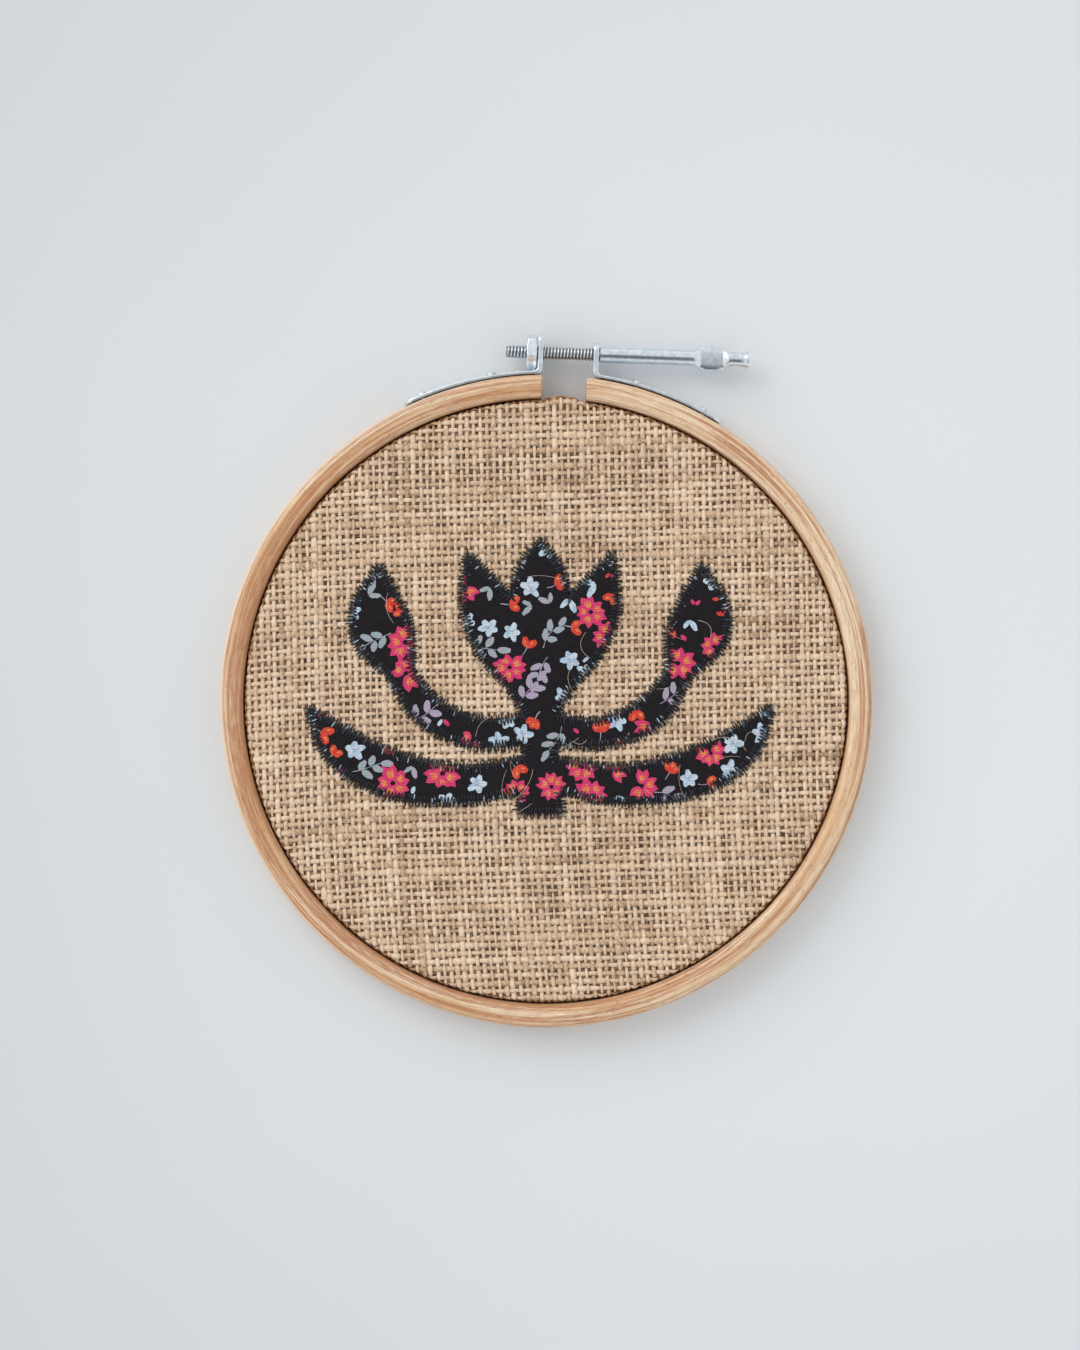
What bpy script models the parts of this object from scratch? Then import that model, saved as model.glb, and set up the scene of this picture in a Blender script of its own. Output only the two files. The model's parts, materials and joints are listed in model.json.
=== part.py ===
"""Hoop embroidery art: burlap stretched in a wooden screw hoop, with a cotton appliqué.

The hoop lies on its back with its face up (+Z). +Y points from the hoop towards its screw and
+X along the screw towards its flat head. The origin is the middle of the whole object's base.
"""

import math

import bmesh
import bpy
from mathutils import Matrix, Vector

MM = 0.001

# Spacing between pieces that lie on each other, and around a piece that turns in a hole
CLEARANCE = 0.3 * MM
RUNNING_CLEARANCE = 0.1 * MM

# Turns a shape made along Z so that it lies along X
ALONG_X = Matrix.Rotation(math.radians(90), 4, "Y")

# The two wooden rings
TURN_STEPS = 96
RING_OUTER_RADIUS = 78.0 * MM
RING_WIDTH = 5.6 * MM
RING_DEPTH = 9.5 * MM
RING_FRONT_ROUNDING = 1.5 * MM
RING_BACK_ROUNDING = 0.8 * MM
RING_INNER_RADIUS = RING_OUTER_RADIUS - RING_WIDTH
RING_END_ROUNDING = 0.4 * MM
INNER_RING_WIDTH = 4.8 * MM
INNER_RING_ROUNDING = 0.9 * MM

# The gap where the outer ring is drawn together
GAP_WIDTH = 10.6 * MM
GAP_CENTRE_X = 1.6 * MM
GAP_ANGLE = math.asin(GAP_CENTRE_X / RING_OUTER_RADIUS)

# The burlap: a disc over the inner ring whose edge turns down between the rings
CLOTH_THICKNESS = 1.0 * MM
CLOTH_BELOW_RING_FACE = 0.5 * MM
CLOTH_EDGE_ROUNDING = 1.6 * MM
CLOTH_HEM_HEIGHT = 0.8 * MM
CLOTH_TOP = RING_DEPTH - CLOTH_BELOW_RING_FACE
CLOTH_UNDERSIDE = CLOTH_TOP - CLOTH_THICKNESS
CLOTH_RADIUS = RING_INNER_RADIUS - CLEARANCE
INNER_RING_RADIUS = CLOTH_RADIUS - CLOTH_THICKNESS - CLEARANCE
INNER_RING_DEPTH = CLOTH_UNDERSIDE - CLEARANCE

# The appliqué, turned with the weave of the burlap and not with the screw
APPLIQUE_THICKNESS = 1.0 * MM
APPLIQUE_OFFSET = (-1.4 * MM, 5.9 * MM)
DESIGN_TURN = math.radians(2.1)

# The screw. Lengths along it count from the middle of the gap, positive towards the head.
SCREW_AXIS_RADIUS = 83.5 * MM
SCREW_AXIS_HEIGHT = RING_DEPTH / 2
SCREW_SIDES = 12
THREAD_RADIUS = 1.7 * MM
THREAD_PITCH = 0.794 * MM
THREAD_DEPTH = 0.45 * MM
THREAD_RINGS_PER_TURN = 4
SCREW_TIP = -14.2 * MM
SHANK_RADIUS = 1.9 * MM
PADDLE_HALF_WIDTH = 3.1 * MM
PADDLE_HALF_THICKNESS = 1.1 * MM
PADDLE_SQUARENESS = 3.2
STUB_RADIUS = 1.8 * MM
STUB_END_RADIUS = 2.17 * MM
SCREW_HOLE_RADIUS = THREAD_RADIUS + RUNNING_CLEARANCE

# The pressed nut, seated outside the left ear
NUT_ACROSS_FLATS = 7.94 * MM
NUT_THICKNESS = 2.5 * MM
NUT_CHAMFER = 0.35 * MM
NUT_CHAMFER_STEPS = 36
NUT_TURN = math.radians(-18.5)

# The two brackets: a strap along the ring and an ear turned up at its end
STRAP_THICKNESS = 0.8 * MM
STRAP_WIDTH = 6.5 * MM
STRAP_HALF_SPAN = math.radians(28.8)
STRAP_ARC_STEPS = 12
STRAP_END_ROUNDING = 2.4 * MM
EAR_THICKNESS = 1.2 * MM
EAR_TOP_ROUNDING = 2.0 * MM
EAR_BEND_RADIUS = 0.9 * MM
EAR_FACE_LEFT = GAP_CENTRE_X - GAP_WIDTH / 2
EAR_FACE_RIGHT = GAP_CENTRE_X + 6.8 * MM
EAR_TOP_LEFT = 4.4 * MM
EAR_TOP_RIGHT = 2.7 * MM
STRAP_INNER_RADIUS = RING_OUTER_RADIUS + CLEARANCE
STRAP_OUTER_RADIUS = STRAP_INNER_RADIUS + STRAP_THICKNESS

# Where the thread meets the shank, and the screw's end
SHOULDER = EAR_FACE_RIGHT - GAP_CENTRE_X + EAR_THICKNESS + CLEARANCE
SCREW_END = 44.0 * MM
SCREW_CHAMFER = 0.15 * MM
THREAD_END = SHOULDER - THREAD_PITCH

# Past the thread: each row is the length along the screw, half its width, half its thickness
# and its squareness, 2 for round
SHANK_AND_HEAD = (
    (SHOULDER, SHANK_RADIUS - SCREW_CHAMFER, SHANK_RADIUS - SCREW_CHAMFER, 2.0),
    (SHOULDER + SCREW_CHAMFER, SHANK_RADIUS, SHANK_RADIUS, 2.0),
    (20.0 * MM, SHANK_RADIUS, SHANK_RADIUS, 2.0),
    (31.1 * MM, SHANK_RADIUS, SHANK_RADIUS, 2.0),
    (31.9 * MM, 0.74 * PADDLE_HALF_WIDTH, 1.45 * PADDLE_HALF_THICKNESS, 2.4),
    (32.7 * MM, 0.9 * PADDLE_HALF_WIDTH, PADDLE_HALF_THICKNESS, PADDLE_SQUARENESS),
    (34.0 * MM, PADDLE_HALF_WIDTH, PADDLE_HALF_THICKNESS, PADDLE_SQUARENESS),
    (36.2 * MM, PADDLE_HALF_WIDTH, PADDLE_HALF_THICKNESS, PADDLE_SQUARENESS),
    (37.5 * MM, 0.9 * PADDLE_HALF_WIDTH, PADDLE_HALF_THICKNESS, PADDLE_SQUARENESS),
    (38.4 * MM, 0.74 * PADDLE_HALF_WIDTH, 1.4 * PADDLE_HALF_THICKNESS, 2.4),
    (39.4 * MM, STUB_RADIUS, STUB_RADIUS, 2.0),
    (41.4 * MM, STUB_RADIUS, STUB_RADIUS, 2.0),
    (42.7 * MM, 1.06 * STUB_RADIUS, 1.06 * STUB_RADIUS, 2.0),
    (SCREW_END - SCREW_CHAMFER, STUB_END_RADIUS, STUB_END_RADIUS, 2.0),
    (SCREW_END, STUB_END_RADIUS - SCREW_CHAMFER, STUB_END_RADIUS - SCREW_CHAMFER, 2.0),
)

# The rivets that hold each strap to the ring
RIVET_ANGLES = (math.radians(12.6), math.radians(25.2))
RIVET_HEAD_RADIUS = 1.3 * MM
RIVET_HEAD_HEIGHT = 0.7 * MM
RIVET_SHANK_RADIUS = 0.7 * MM
RIVET_DEPTH_IN_WOOD = 3.0 * MM
RIVET_STEPS = 14

# The whole object is centred on the origin, from the ring's far side to the left ear's top
RING_CENTRE_Y = -(SCREW_AXIS_RADIUS + EAR_TOP_LEFT - RING_OUTER_RADIUS) / 2
RING_CENTRE = Vector((0.0, RING_CENTRE_Y, 0.0))
SCREW_AXIS_Y = RING_CENTRE_Y + SCREW_AXIS_RADIUS

# Right half of the appliqué's outline in millimetres, from the top of the tulip round to the foot
# of the stem. Each row is x, y and whether the outline has a corner there.
TULIP = (
    (0.0, 32.5, True),
    (5.0, 25.8, False),
    (7.0, 18.8, True),
    (11.0, 23.0, False),
    (17.4, 29.2, True),
    (18.4, 15.8, False),
    (13.8, 4.4, False),
    (7.0, -3.4, False),
)
BUD = (
    (3.6, -9.4, True),
    (14.4, -10.4, False),
    (25.0, -5.2, False),
    (30.6, 1.6, True),
    (31.0, 12.2, False),
    (38.4, 26.6, True),
    (44.8, 16.2, False),
    (43.4, 7.0, False),
    (36.2, 0.4, True),
    (29.2, -10.6, False),
    (16.4, -16.4, False),
    (3.6, -16.0, True),
)
LEAF = (
    (3.6, -19.6, True),
    (20.0, -21.6, False),
    (38.0, -16.8, False),
    (55.5, -7.4, True),
    (51.0, -19.2, False),
    (37.4, -28.0, False),
    (18.0, -30.0, False),
    (4.6, -27.4, True),
    (5.4, -32.5, True),
)
OUTLINE_STEPS = 4
HANDLE_SHARE = 0.36


def clear_scene():
    for old in list(bpy.data.objects):
        bpy.data.objects.remove(old, do_unlink=True)


def new_collection(name):
    collection = bpy.data.collections.new(name)
    bpy.context.scene.collection.children.link(collection)
    return collection


def new_material(name, colour, roughness, metallic=0.0):
    material = bpy.data.materials.new(name)
    material.use_nodes = True
    shader = material.node_tree.nodes["Principled BSDF"]
    shader.inputs["Base Color"].default_value = (*colour, 1.0)
    shader.inputs["Roughness"].default_value = roughness
    shader.inputs["Metallic"].default_value = metallic
    return material


def add_object(name, data, collection, material=None, location=(0, 0, 0)):
    thing = bpy.data.objects.new(name, data)
    thing.location = location
    collection.objects.link(thing)
    if material:
        data.materials.append(material)
    return thing


def mesh_from_bmesh(name, shape):
    mesh = bpy.data.meshes.new(name)
    shape.to_mesh(mesh)
    shape.free()
    return mesh


def smooth_round_faces(mesh, sharp_angle=math.radians(35)):
    mesh.shade_smooth()
    mesh.set_sharp_from_angle(angle=sharp_angle)


def cut(target, cutter, operation="DIFFERENCE"):
    boolean = target.modifiers.new(f"{operation.lower()} {cutter.name}", "BOOLEAN")
    boolean.operation = operation
    boolean.solver = "EXACT"
    boolean.object = cutter


def as_cutter(thing):
    thing.hide_render = True
    thing.display_type = "WIRE"
    return thing


def rounded_corners(corners, steps=4):
    """The closed outline through the corners (x, y, radius), with an arc at each round one."""
    points = []
    for index, (x, y, radius) in enumerate(corners):
        corner = Vector((x, y))
        if not radius:
            points.append(corner)
            continue
        before = Vector(corners[index - 1][:2]) - corner
        after = Vector(corners[(index + 1) % len(corners)][:2]) - corner
        half_angle = before.angle(after) / 2
        middle = (before.normalized() + after.normalized()).normalized()
        centre = corner + middle * (radius / math.sin(half_angle))
        reach = radius / math.tan(half_angle)
        start = corner + before.normalized() * reach - centre
        sweep = start.angle_signed(corner + after.normalized() * reach - centre)
        for step in range(steps + 1):
            turn = Matrix.Rotation(-sweep * step / steps, 2)
            points.append(centre + turn @ start)
    return points


def turned(name, profile, collection, material, closed=True):
    """A profile of (radius, height) points turned about the hoop's axis."""
    mesh = bpy.data.meshes.new(name)
    verts = [(radius, 0.0, height) for radius, height in profile]
    edges = [(i, i + 1) for i in range(len(verts) - 1)]
    if closed:
        edges.append((len(verts) - 1, 0))
    mesh.from_pydata(verts, edges, [])
    ring = add_object(name, mesh, collection, material, RING_CENTRE)
    screw = ring.modifiers.new("Turn", "SCREW")
    screw.axis = "Z"
    screw.steps = TURN_STEPS
    screw.render_steps = TURN_STEPS
    screw.use_merge_vertices = True
    screw.merge_threshold = 0.00001
    screw.use_smooth_shade = True
    weld = ring.modifiers.new("Weld", "WELD")
    weld.merge_threshold = 0.00001
    return ring


def ring_section(inner, outer, top, front_rounding, back_rounding, steps):
    """The ring's cross-section, down its outer side and up its inner side."""
    corners = [
        (outer, top, front_rounding),
        (outer, 0.0, back_rounding),
        (inner, 0.0, back_rounding),
        (inner, top, front_rounding),
    ]
    return rounded_corners(corners, steps)


def spun_shape(profile, steps):
    """A closed shape from (radius, height) points, turned once about Z."""
    shape = bmesh.new()
    points = [shape.verts.new((radius, 0.0, height)) for radius, height in profile]
    rim = [shape.edges.new(pair) for pair in zip(points, points[1:])]
    bmesh.ops.spin(
        shape,
        geom=points + rim,
        cent=(0, 0, 0),
        axis=(0, 0, 1),
        angle=2 * math.pi,
        steps=steps,
        use_merge=True,
    )
    bmesh.ops.remove_doubles(shape, verts=shape.verts, dist=0.000001)
    bmesh.ops.recalc_face_normals(shape, faces=shape.faces)
    return shape


def cylinder_along_x(name, radius, length, centre, collection, sides=24):
    shape = bmesh.new()
    bmesh.ops.create_cone(
        shape,
        cap_ends=True,
        segments=sides,
        radius1=radius,
        radius2=radius,
        depth=length,
        matrix=ALONG_X,
    )
    return add_object(name, mesh_from_bmesh(name, shape), collection, location=centre)


def rivet_turn(angle):
    """Turns a piece that points along +Z so that it points out of the ring at this angle."""
    outward = Matrix.Rotation(-angle, 4, "Z") @ Matrix.Rotation(math.radians(-90), 4, "X")
    return Matrix.Translation(RING_CENTRE + Vector((0, 0, RING_DEPTH / 2))) @ outward


def rivet_places():
    """The name and the angle of each rivet, from +Y towards +X."""
    for side, sign in (("left", -1), ("right", 1)):
        for place, angle in zip(("inner", "outer"), RIVET_ANGLES):
            yield f"rivet_{side}_{place}", GAP_ANGLE + sign * angle


def rivet_holes(cutters):
    """One cutter for the rivet holes in the straps and the ring."""
    shape = bmesh.new()
    bottom = RING_OUTER_RADIUS - RIVET_DEPTH_IN_WOOD - CLEARANCE
    top = STRAP_OUTER_RADIUS + STRAP_THICKNESS
    for _, angle in rivet_places():
        lift = Matrix.Translation((0, 0, (bottom + top) / 2))
        bmesh.ops.create_cone(
            shape,
            cap_ends=True,
            segments=RIVET_STEPS,
            radius1=RIVET_SHANK_RADIUS + CLEARANCE,
            radius2=RIVET_SHANK_RADIUS + CLEARANCE,
            depth=top - bottom,
            matrix=rivet_turn(angle) @ lift,
        )
    return as_cutter(add_object("rivet_holes", mesh_from_bmesh("rivet_holes", shape), cutters))


def make_outer_ring(parts, cutters, wood, holes):
    section = ring_section(
        inner=RING_INNER_RADIUS,
        outer=RING_OUTER_RADIUS,
        top=RING_DEPTH,
        front_rounding=RING_FRONT_ROUNDING,
        back_rounding=RING_BACK_ROUNDING,
        steps=3,
    )
    ring = turned("outer_ring", section, parts, wood)

    shape = bmesh.new()
    bmesh.ops.create_cube(shape, size=1.0)
    bmesh.ops.scale(shape, vec=(GAP_WIDTH, 4 * RING_WIDTH, 3 * RING_DEPTH), verts=shape.verts)
    place = (GAP_CENTRE_X, RING_CENTRE_Y + RING_OUTER_RADIUS, RING_DEPTH / 2)
    box = add_object("gap_cutter", mesh_from_bmesh("gap_cutter", shape), cutters, location=place)
    cut(ring, as_cutter(box))

    bevel = ring.modifiers.new("Sanded ends", "BEVEL")
    bevel.width = RING_END_ROUNDING
    bevel.segments = 2
    bevel.limit_method = "ANGLE"
    bevel.angle_limit = math.radians(50)
    cut(ring, holes)
    return ring


def make_inner_ring(parts, wood):
    section = ring_section(
        inner=INNER_RING_RADIUS - INNER_RING_WIDTH,
        outer=INNER_RING_RADIUS,
        top=INNER_RING_DEPTH,
        front_rounding=INNER_RING_ROUNDING,
        back_rounding=INNER_RING_ROUNDING,
        steps=2,
    )
    return turned("inner_ring", section, parts, wood)


def make_burlap(parts, cloth):
    """The stretched disc and the edge that turns down between the rings."""
    skirt_inside = CLOTH_RADIUS - CLOTH_THICKNESS
    inside_rounding = CLOTH_EDGE_ROUNDING - CLOTH_THICKNESS
    profile = rounded_corners(
        [
            (0.0, CLOTH_TOP, 0.0),
            (CLOTH_RADIUS, CLOTH_TOP, CLOTH_EDGE_ROUNDING),
            (CLOTH_RADIUS, CLOTH_HEM_HEIGHT, 0.0),
            (skirt_inside, CLOTH_HEM_HEIGHT, 0.0),
            (skirt_inside, CLOTH_UNDERSIDE, inside_rounding),
            (0.0, CLOTH_UNDERSIDE, 0.0),
        ]
    )
    return turned("burlap", profile, parts, cloth, closed=False)


def add_bezier_outline(curve, rows):
    """A closed Bézier spline through the rows, with pointed or flowing handles."""
    spline = curve.splines.new("BEZIER")
    spline.bezier_points.add(len(rows) - 1)
    spline.use_cyclic_u = True
    places = [Vector((x * MM, y * MM, 0.0)) for x, y, _ in rows]
    for index, (point, row) in enumerate(zip(spline.bezier_points, rows)):
        here = places[index]
        before = places[index - 1]
        after = places[(index + 1) % len(places)]
        point.co = here
        point.handle_left_type = "FREE"
        point.handle_right_type = "FREE"
        if row[2]:
            point.handle_left = here.lerp(before, HANDLE_SHARE)
            point.handle_right = here.lerp(after, HANDLE_SHARE)
        else:
            along = (after - before).normalized()
            point.handle_left = here - along * (here - before).length * HANDLE_SHARE
            point.handle_right = here + along * (after - here).length * HANDLE_SHARE


def make_applique(parts, cotton):
    right = TULIP + BUD + LEAF
    left = tuple((-x, y, corner) for x, y, corner in reversed(right[1:]))
    curve = bpy.data.curves.new("applique", "CURVE")
    curve.dimensions = "2D"
    curve.fill_mode = "BOTH"
    curve.extrude = APPLIQUE_THICKNESS / 2
    curve.resolution_u = OUTLINE_STEPS
    curve.render_resolution_u = OUTLINE_STEPS
    add_bezier_outline(curve, right + left)

    turn = Matrix.Rotation(DESIGN_TURN, 3, "Z")
    offset = turn @ Vector((*APPLIQUE_OFFSET, 0.0))
    height = CLOTH_TOP + CLEARANCE + APPLIQUE_THICKNESS / 2
    piece = add_object("applique", curve, parts, cotton)
    piece.location = RING_CENTRE + offset + Vector((0, 0, height))
    piece.rotation_euler.z = DESIGN_TURN
    return piece


def on_ring(radius, angle):
    """A point at this radius about the ring's middle, the angle from +Y towards +X."""
    return (radius * math.sin(angle), RING_CENTRE_Y + radius * math.cos(angle))


def bracket_outline(sign, face, top):
    """The bracket seen from the front: up the ear, down its far side and along the strap."""
    back = face + sign * EAR_THICKNESS
    end = GAP_ANGLE + sign * STRAP_HALF_SPAN
    bend_outside = face + sign * 2 * EAR_BEND_RADIUS
    bend_inside = back + sign * EAR_BEND_RADIUS
    start_outer = math.asin(bend_inside / STRAP_OUTER_RADIUS)
    start_inner = math.asin(bend_outside / STRAP_INNER_RADIUS)

    def height_over(x, radius):
        return RING_CENTRE_Y + math.sqrt(radius**2 - x**2)

    corners = [
        (face, height_over(face, STRAP_INNER_RADIUS), EAR_BEND_RADIUS),
        (face, SCREW_AXIS_Y + top, 0.0),
        (back, SCREW_AXIS_Y + top, 0.0),
        (back, height_over(back, STRAP_OUTER_RADIUS), EAR_BEND_RADIUS / 2),
    ]
    for step in range(STRAP_ARC_STEPS + 1):
        angle = start_outer + (end - start_outer) * step / STRAP_ARC_STEPS
        corners.append((*on_ring(STRAP_OUTER_RADIUS, angle), 0.0))
    for step in range(STRAP_ARC_STEPS + 1):
        angle = end + (start_inner - end) * step / STRAP_ARC_STEPS
        corners.append((*on_ring(STRAP_INNER_RADIUS, angle), 0.0))
    return rounded_corners(corners, steps=3)


def plate_from_outline(name, outline, thickness, collection, material):
    """A flat plate of this outline, as a closed mesh."""
    curve = bpy.data.curves.new(name, "CURVE")
    curve.dimensions = "2D"
    curve.fill_mode = "BOTH"
    curve.extrude = thickness / 2
    spline = curve.splines.new("POLY")
    spline.points.add(len(outline) - 1)
    spline.use_cyclic_u = True
    for point, (x, y) in zip(spline.points, outline):
        point.co = (x, y, 0.0, 1.0)
    guide = add_object(f"{name}_outline", curve, collection)
    evaluated = guide.evaluated_get(bpy.context.evaluated_depsgraph_get())
    mesh = bpy.data.meshes.new_from_object(evaluated)
    bpy.data.objects.remove(guide, do_unlink=True)
    bpy.data.curves.remove(curve)

    shape = bmesh.new()
    shape.from_mesh(mesh)
    bmesh.ops.remove_doubles(shape, verts=shape.verts, dist=0.000001)
    bmesh.ops.dissolve_limit(
        shape, angle_limit=math.radians(0.5), verts=shape.verts, edges=shape.edges
    )
    shape.to_mesh(mesh)
    shape.free()
    mesh.name = name
    return add_object(name, mesh, collection, material)


def round_corner_edges(plate, near, radius, segments=3):
    """Rounds the plate's outer corners whose edge lies at one of these places seen from above."""
    shape = bmesh.new()
    shape.from_mesh(plate.data)
    chosen = []
    for edge in shape.edges:
        middle = (edge.verts[0].co + edge.verts[1].co) / 2
        level = abs(edge.verts[0].co.z - edge.verts[1].co.z) < 0.1 * MM
        if level and any((middle.xy - Vector(place)).length < 0.1 * MM for place in near):
            chosen.append(edge)
    bmesh.ops.bevel(
        shape, geom=chosen, offset=radius, segments=segments, profile=0.5, affect="EDGES"
    )
    shape.to_mesh(plate.data)
    shape.free()


def make_bracket(side, sign, face, top, parts, steel, holes, screw_hole):
    outline = bracket_outline(sign, face, top)
    bracket = plate_from_outline(f"bracket_{side}", outline, STRAP_WIDTH, parts, steel)
    bracket.location.z = SCREW_AXIS_HEIGHT
    ear_top = (face + sign * EAR_THICKNESS / 2, SCREW_AXIS_Y + top)
    end = GAP_ANGLE + sign * STRAP_HALF_SPAN
    strap_end = on_ring((STRAP_INNER_RADIUS + STRAP_OUTER_RADIUS) / 2, end)
    round_corner_edges(bracket, [ear_top], EAR_TOP_ROUNDING)
    round_corner_edges(bracket, [strap_end], STRAP_END_ROUNDING)
    cut(bracket, screw_hole)
    cut(bracket, holes)
    return bracket


def make_rivet(name, angle, parts, steel):
    """A domed head over the strap, and a shank through it into the wood."""
    seat = STRAP_OUTER_RADIUS + CLEARANCE
    bottom = RING_OUTER_RADIUS - RIVET_DEPTH_IN_WOOD
    dome = [(0.0, 1.0), (0.45, 0.92), (0.8, 0.62), (1.0, 0.2), (1.0, 0.0)]
    profile = [(r * RIVET_HEAD_RADIUS, seat + h * RIVET_HEAD_HEIGHT) for r, h in dome]
    profile += [(RIVET_SHANK_RADIUS, seat), (RIVET_SHANK_RADIUS, bottom), (0.0, bottom)]
    mesh = mesh_from_bmesh(name, spun_shape(profile, RIVET_STEPS))
    smooth_round_faces(mesh)
    rivet = add_object(name, mesh, parts, steel)
    rivet.matrix_world = rivet_turn(angle)
    return rivet


def make_nut(parts, cutters, steel, screw_hole):
    """A hexagon with its corners turned off, its bore clear of the screw."""
    centre_x = EAR_FACE_LEFT - EAR_THICKNESS - CLEARANCE - NUT_THICKNESS / 2
    place = Vector((centre_x, SCREW_AXIS_Y, SCREW_AXIS_HEIGHT))
    corner_radius = NUT_ACROSS_FLATS / 2 / math.cos(math.radians(30))
    shape = bmesh.new()
    bmesh.ops.create_cone(
        shape,
        cap_ends=True,
        segments=6,
        radius1=corner_radius,
        radius2=corner_radius,
        depth=NUT_THICKNESS,
        matrix=ALONG_X @ Matrix.Rotation(NUT_TURN, 4, "Z"),
    )
    nut = add_object("nut", mesh_from_bmesh("nut", shape), parts, steel, place)

    half = NUT_THICKNESS / 2
    profile = [
        (0.0, half + NUT_CHAMFER),
        (corner_radius - 3 * NUT_CHAMFER, half + NUT_CHAMFER / 2),
        (corner_radius, half - NUT_CHAMFER),
        (corner_radius, NUT_CHAMFER - half),
        (corner_radius - 3 * NUT_CHAMFER, -half - NUT_CHAMFER / 2),
        (0.0, -half - NUT_CHAMFER),
    ]
    shape = spun_shape(profile, NUT_CHAMFER_STEPS)
    bmesh.ops.transform(shape, matrix=ALONG_X, verts=shape.verts)
    mesh = mesh_from_bmesh("nut_chamfer", shape)
    cut(nut, as_cutter(add_object("nut_chamfer", mesh, cutters, location=place)), "INTERSECT")
    cut(nut, screw_hole)
    return nut


def thread_radius(along, turn):
    """The thread's radius: a ridge that winds once round in each pitch, and fades at its ends."""
    winding = (along / THREAD_PITCH + turn / (2 * math.pi)) % 1.0
    ridge = abs(2 * winding - 1)
    fade = min((along - SCREW_TIP) / THREAD_PITCH, (THREAD_END - along) / THREAD_PITCH, 1.0)
    root = THREAD_RADIUS - THREAD_DEPTH
    return root + THREAD_DEPTH * ridge * max(0.0, fade)


def squared_circle(turn, half_width, half_thickness, squareness):
    """A point of a section between an ellipse and a rectangle with rounded corners."""
    power = 2 / squareness
    cosine, sine = math.cos(turn), math.sin(turn)
    across = half_width * math.copysign(abs(cosine) ** power, cosine)
    thick = half_thickness * math.copysign(abs(sine) ** power, sine)
    return across, thick


def make_screw(parts, steel):
    """Thread, shank, pressed paddle and flared end, as rings of points along the axis."""
    thread_rings = int((THREAD_END - SCREW_TIP) / THREAD_PITCH * THREAD_RINGS_PER_TURN) + 1
    ring_count = thread_rings + len(SHANK_AND_HEAD)
    shape = bmesh.new()
    bmesh.ops.create_grid(shape, x_segments=ring_count - 1, y_segments=SCREW_SIDES, size=1.0)
    for vert in shape.verts:
        ring = round((vert.co.x + 1) / 2 * (ring_count - 1))
        turn = (vert.co.y + 1) * math.pi
        if ring < thread_rings:
            along = SCREW_TIP + (THREAD_END - SCREW_TIP) * ring / (thread_rings - 1)
            radius = thread_radius(along, turn)
            across, thick = squared_circle(turn, radius, radius, 2.0)
        else:
            along, *section = SHANK_AND_HEAD[ring - thread_rings]
            across, thick = squared_circle(turn, *section)
        vert.co = (along, across, thick)
    bmesh.ops.remove_doubles(shape, verts=shape.verts, dist=0.000001)
    bmesh.ops.holes_fill(shape, edges=[edge for edge in shape.edges if edge.is_boundary])
    bmesh.ops.recalc_face_normals(shape, faces=shape.faces)
    mesh = mesh_from_bmesh("screw", shape)
    smooth_round_faces(mesh)
    place = (GAP_CENTRE_X, SCREW_AXIS_Y, SCREW_AXIS_HEIGHT)
    return add_object("screw", mesh, parts, steel, place)


def main():
    clear_scene()
    parts = new_collection("hoop_embroidery_art")
    cutters = new_collection("cutters")

    wood = new_material("beech wood", (0.56, 0.38, 0.24), 0.55)
    cloth = new_material("burlap", (0.46, 0.34, 0.23), 0.95)
    cotton = new_material("floral cotton", (0.012, 0.01, 0.016), 0.85)
    steel = new_material("zinc plated steel", (0.68, 0.71, 0.74), 0.32, metallic=1.0)

    holes = rivet_holes(cutters)
    place = (GAP_CENTRE_X, SCREW_AXIS_Y, SCREW_AXIS_HEIGHT)
    screw_hole = as_cutter(
        cylinder_along_x("screw_hole", SCREW_HOLE_RADIUS, 40 * MM, place, cutters)
    )

    make_outer_ring(parts, cutters, wood, holes)
    make_inner_ring(parts, wood)
    make_burlap(parts, cloth)
    make_applique(parts, cotton)
    brackets = (
        ("left", -1, EAR_FACE_LEFT, EAR_TOP_LEFT),
        ("right", 1, EAR_FACE_RIGHT, EAR_TOP_RIGHT),
    )
    for side, sign, face, top in brackets:
        make_bracket(side, sign, face, top, parts, steel, holes, screw_hole)
    for name, angle in rivet_places():
        make_rivet(name, angle, parts, steel)
    make_nut(parts, cutters, steel, screw_hole)
    make_screw(parts, steel)


main()
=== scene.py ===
# %% [markdown]
# # An embroidery hoop with a tulip appliqué
# The real object is a small wall decoration. Burlap is stretched between two beech rings, a zinc plated
# screw draws the outer ring tight, and a cut piece of printed cotton is sewn on with zigzag stitch. This
# lesson dresses a fixed model of it: the frame gives the main sizes and places, and each cell adds the
# fine shape or the finish of one piece. Lengths are millimetres, but the light's size and place are metres.

# %% Load the frame
import json
import math

import bmesh
import bpy
import numpy as np
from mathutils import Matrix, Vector
from mathutils.geometry import delaunay_2d_cdt


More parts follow.
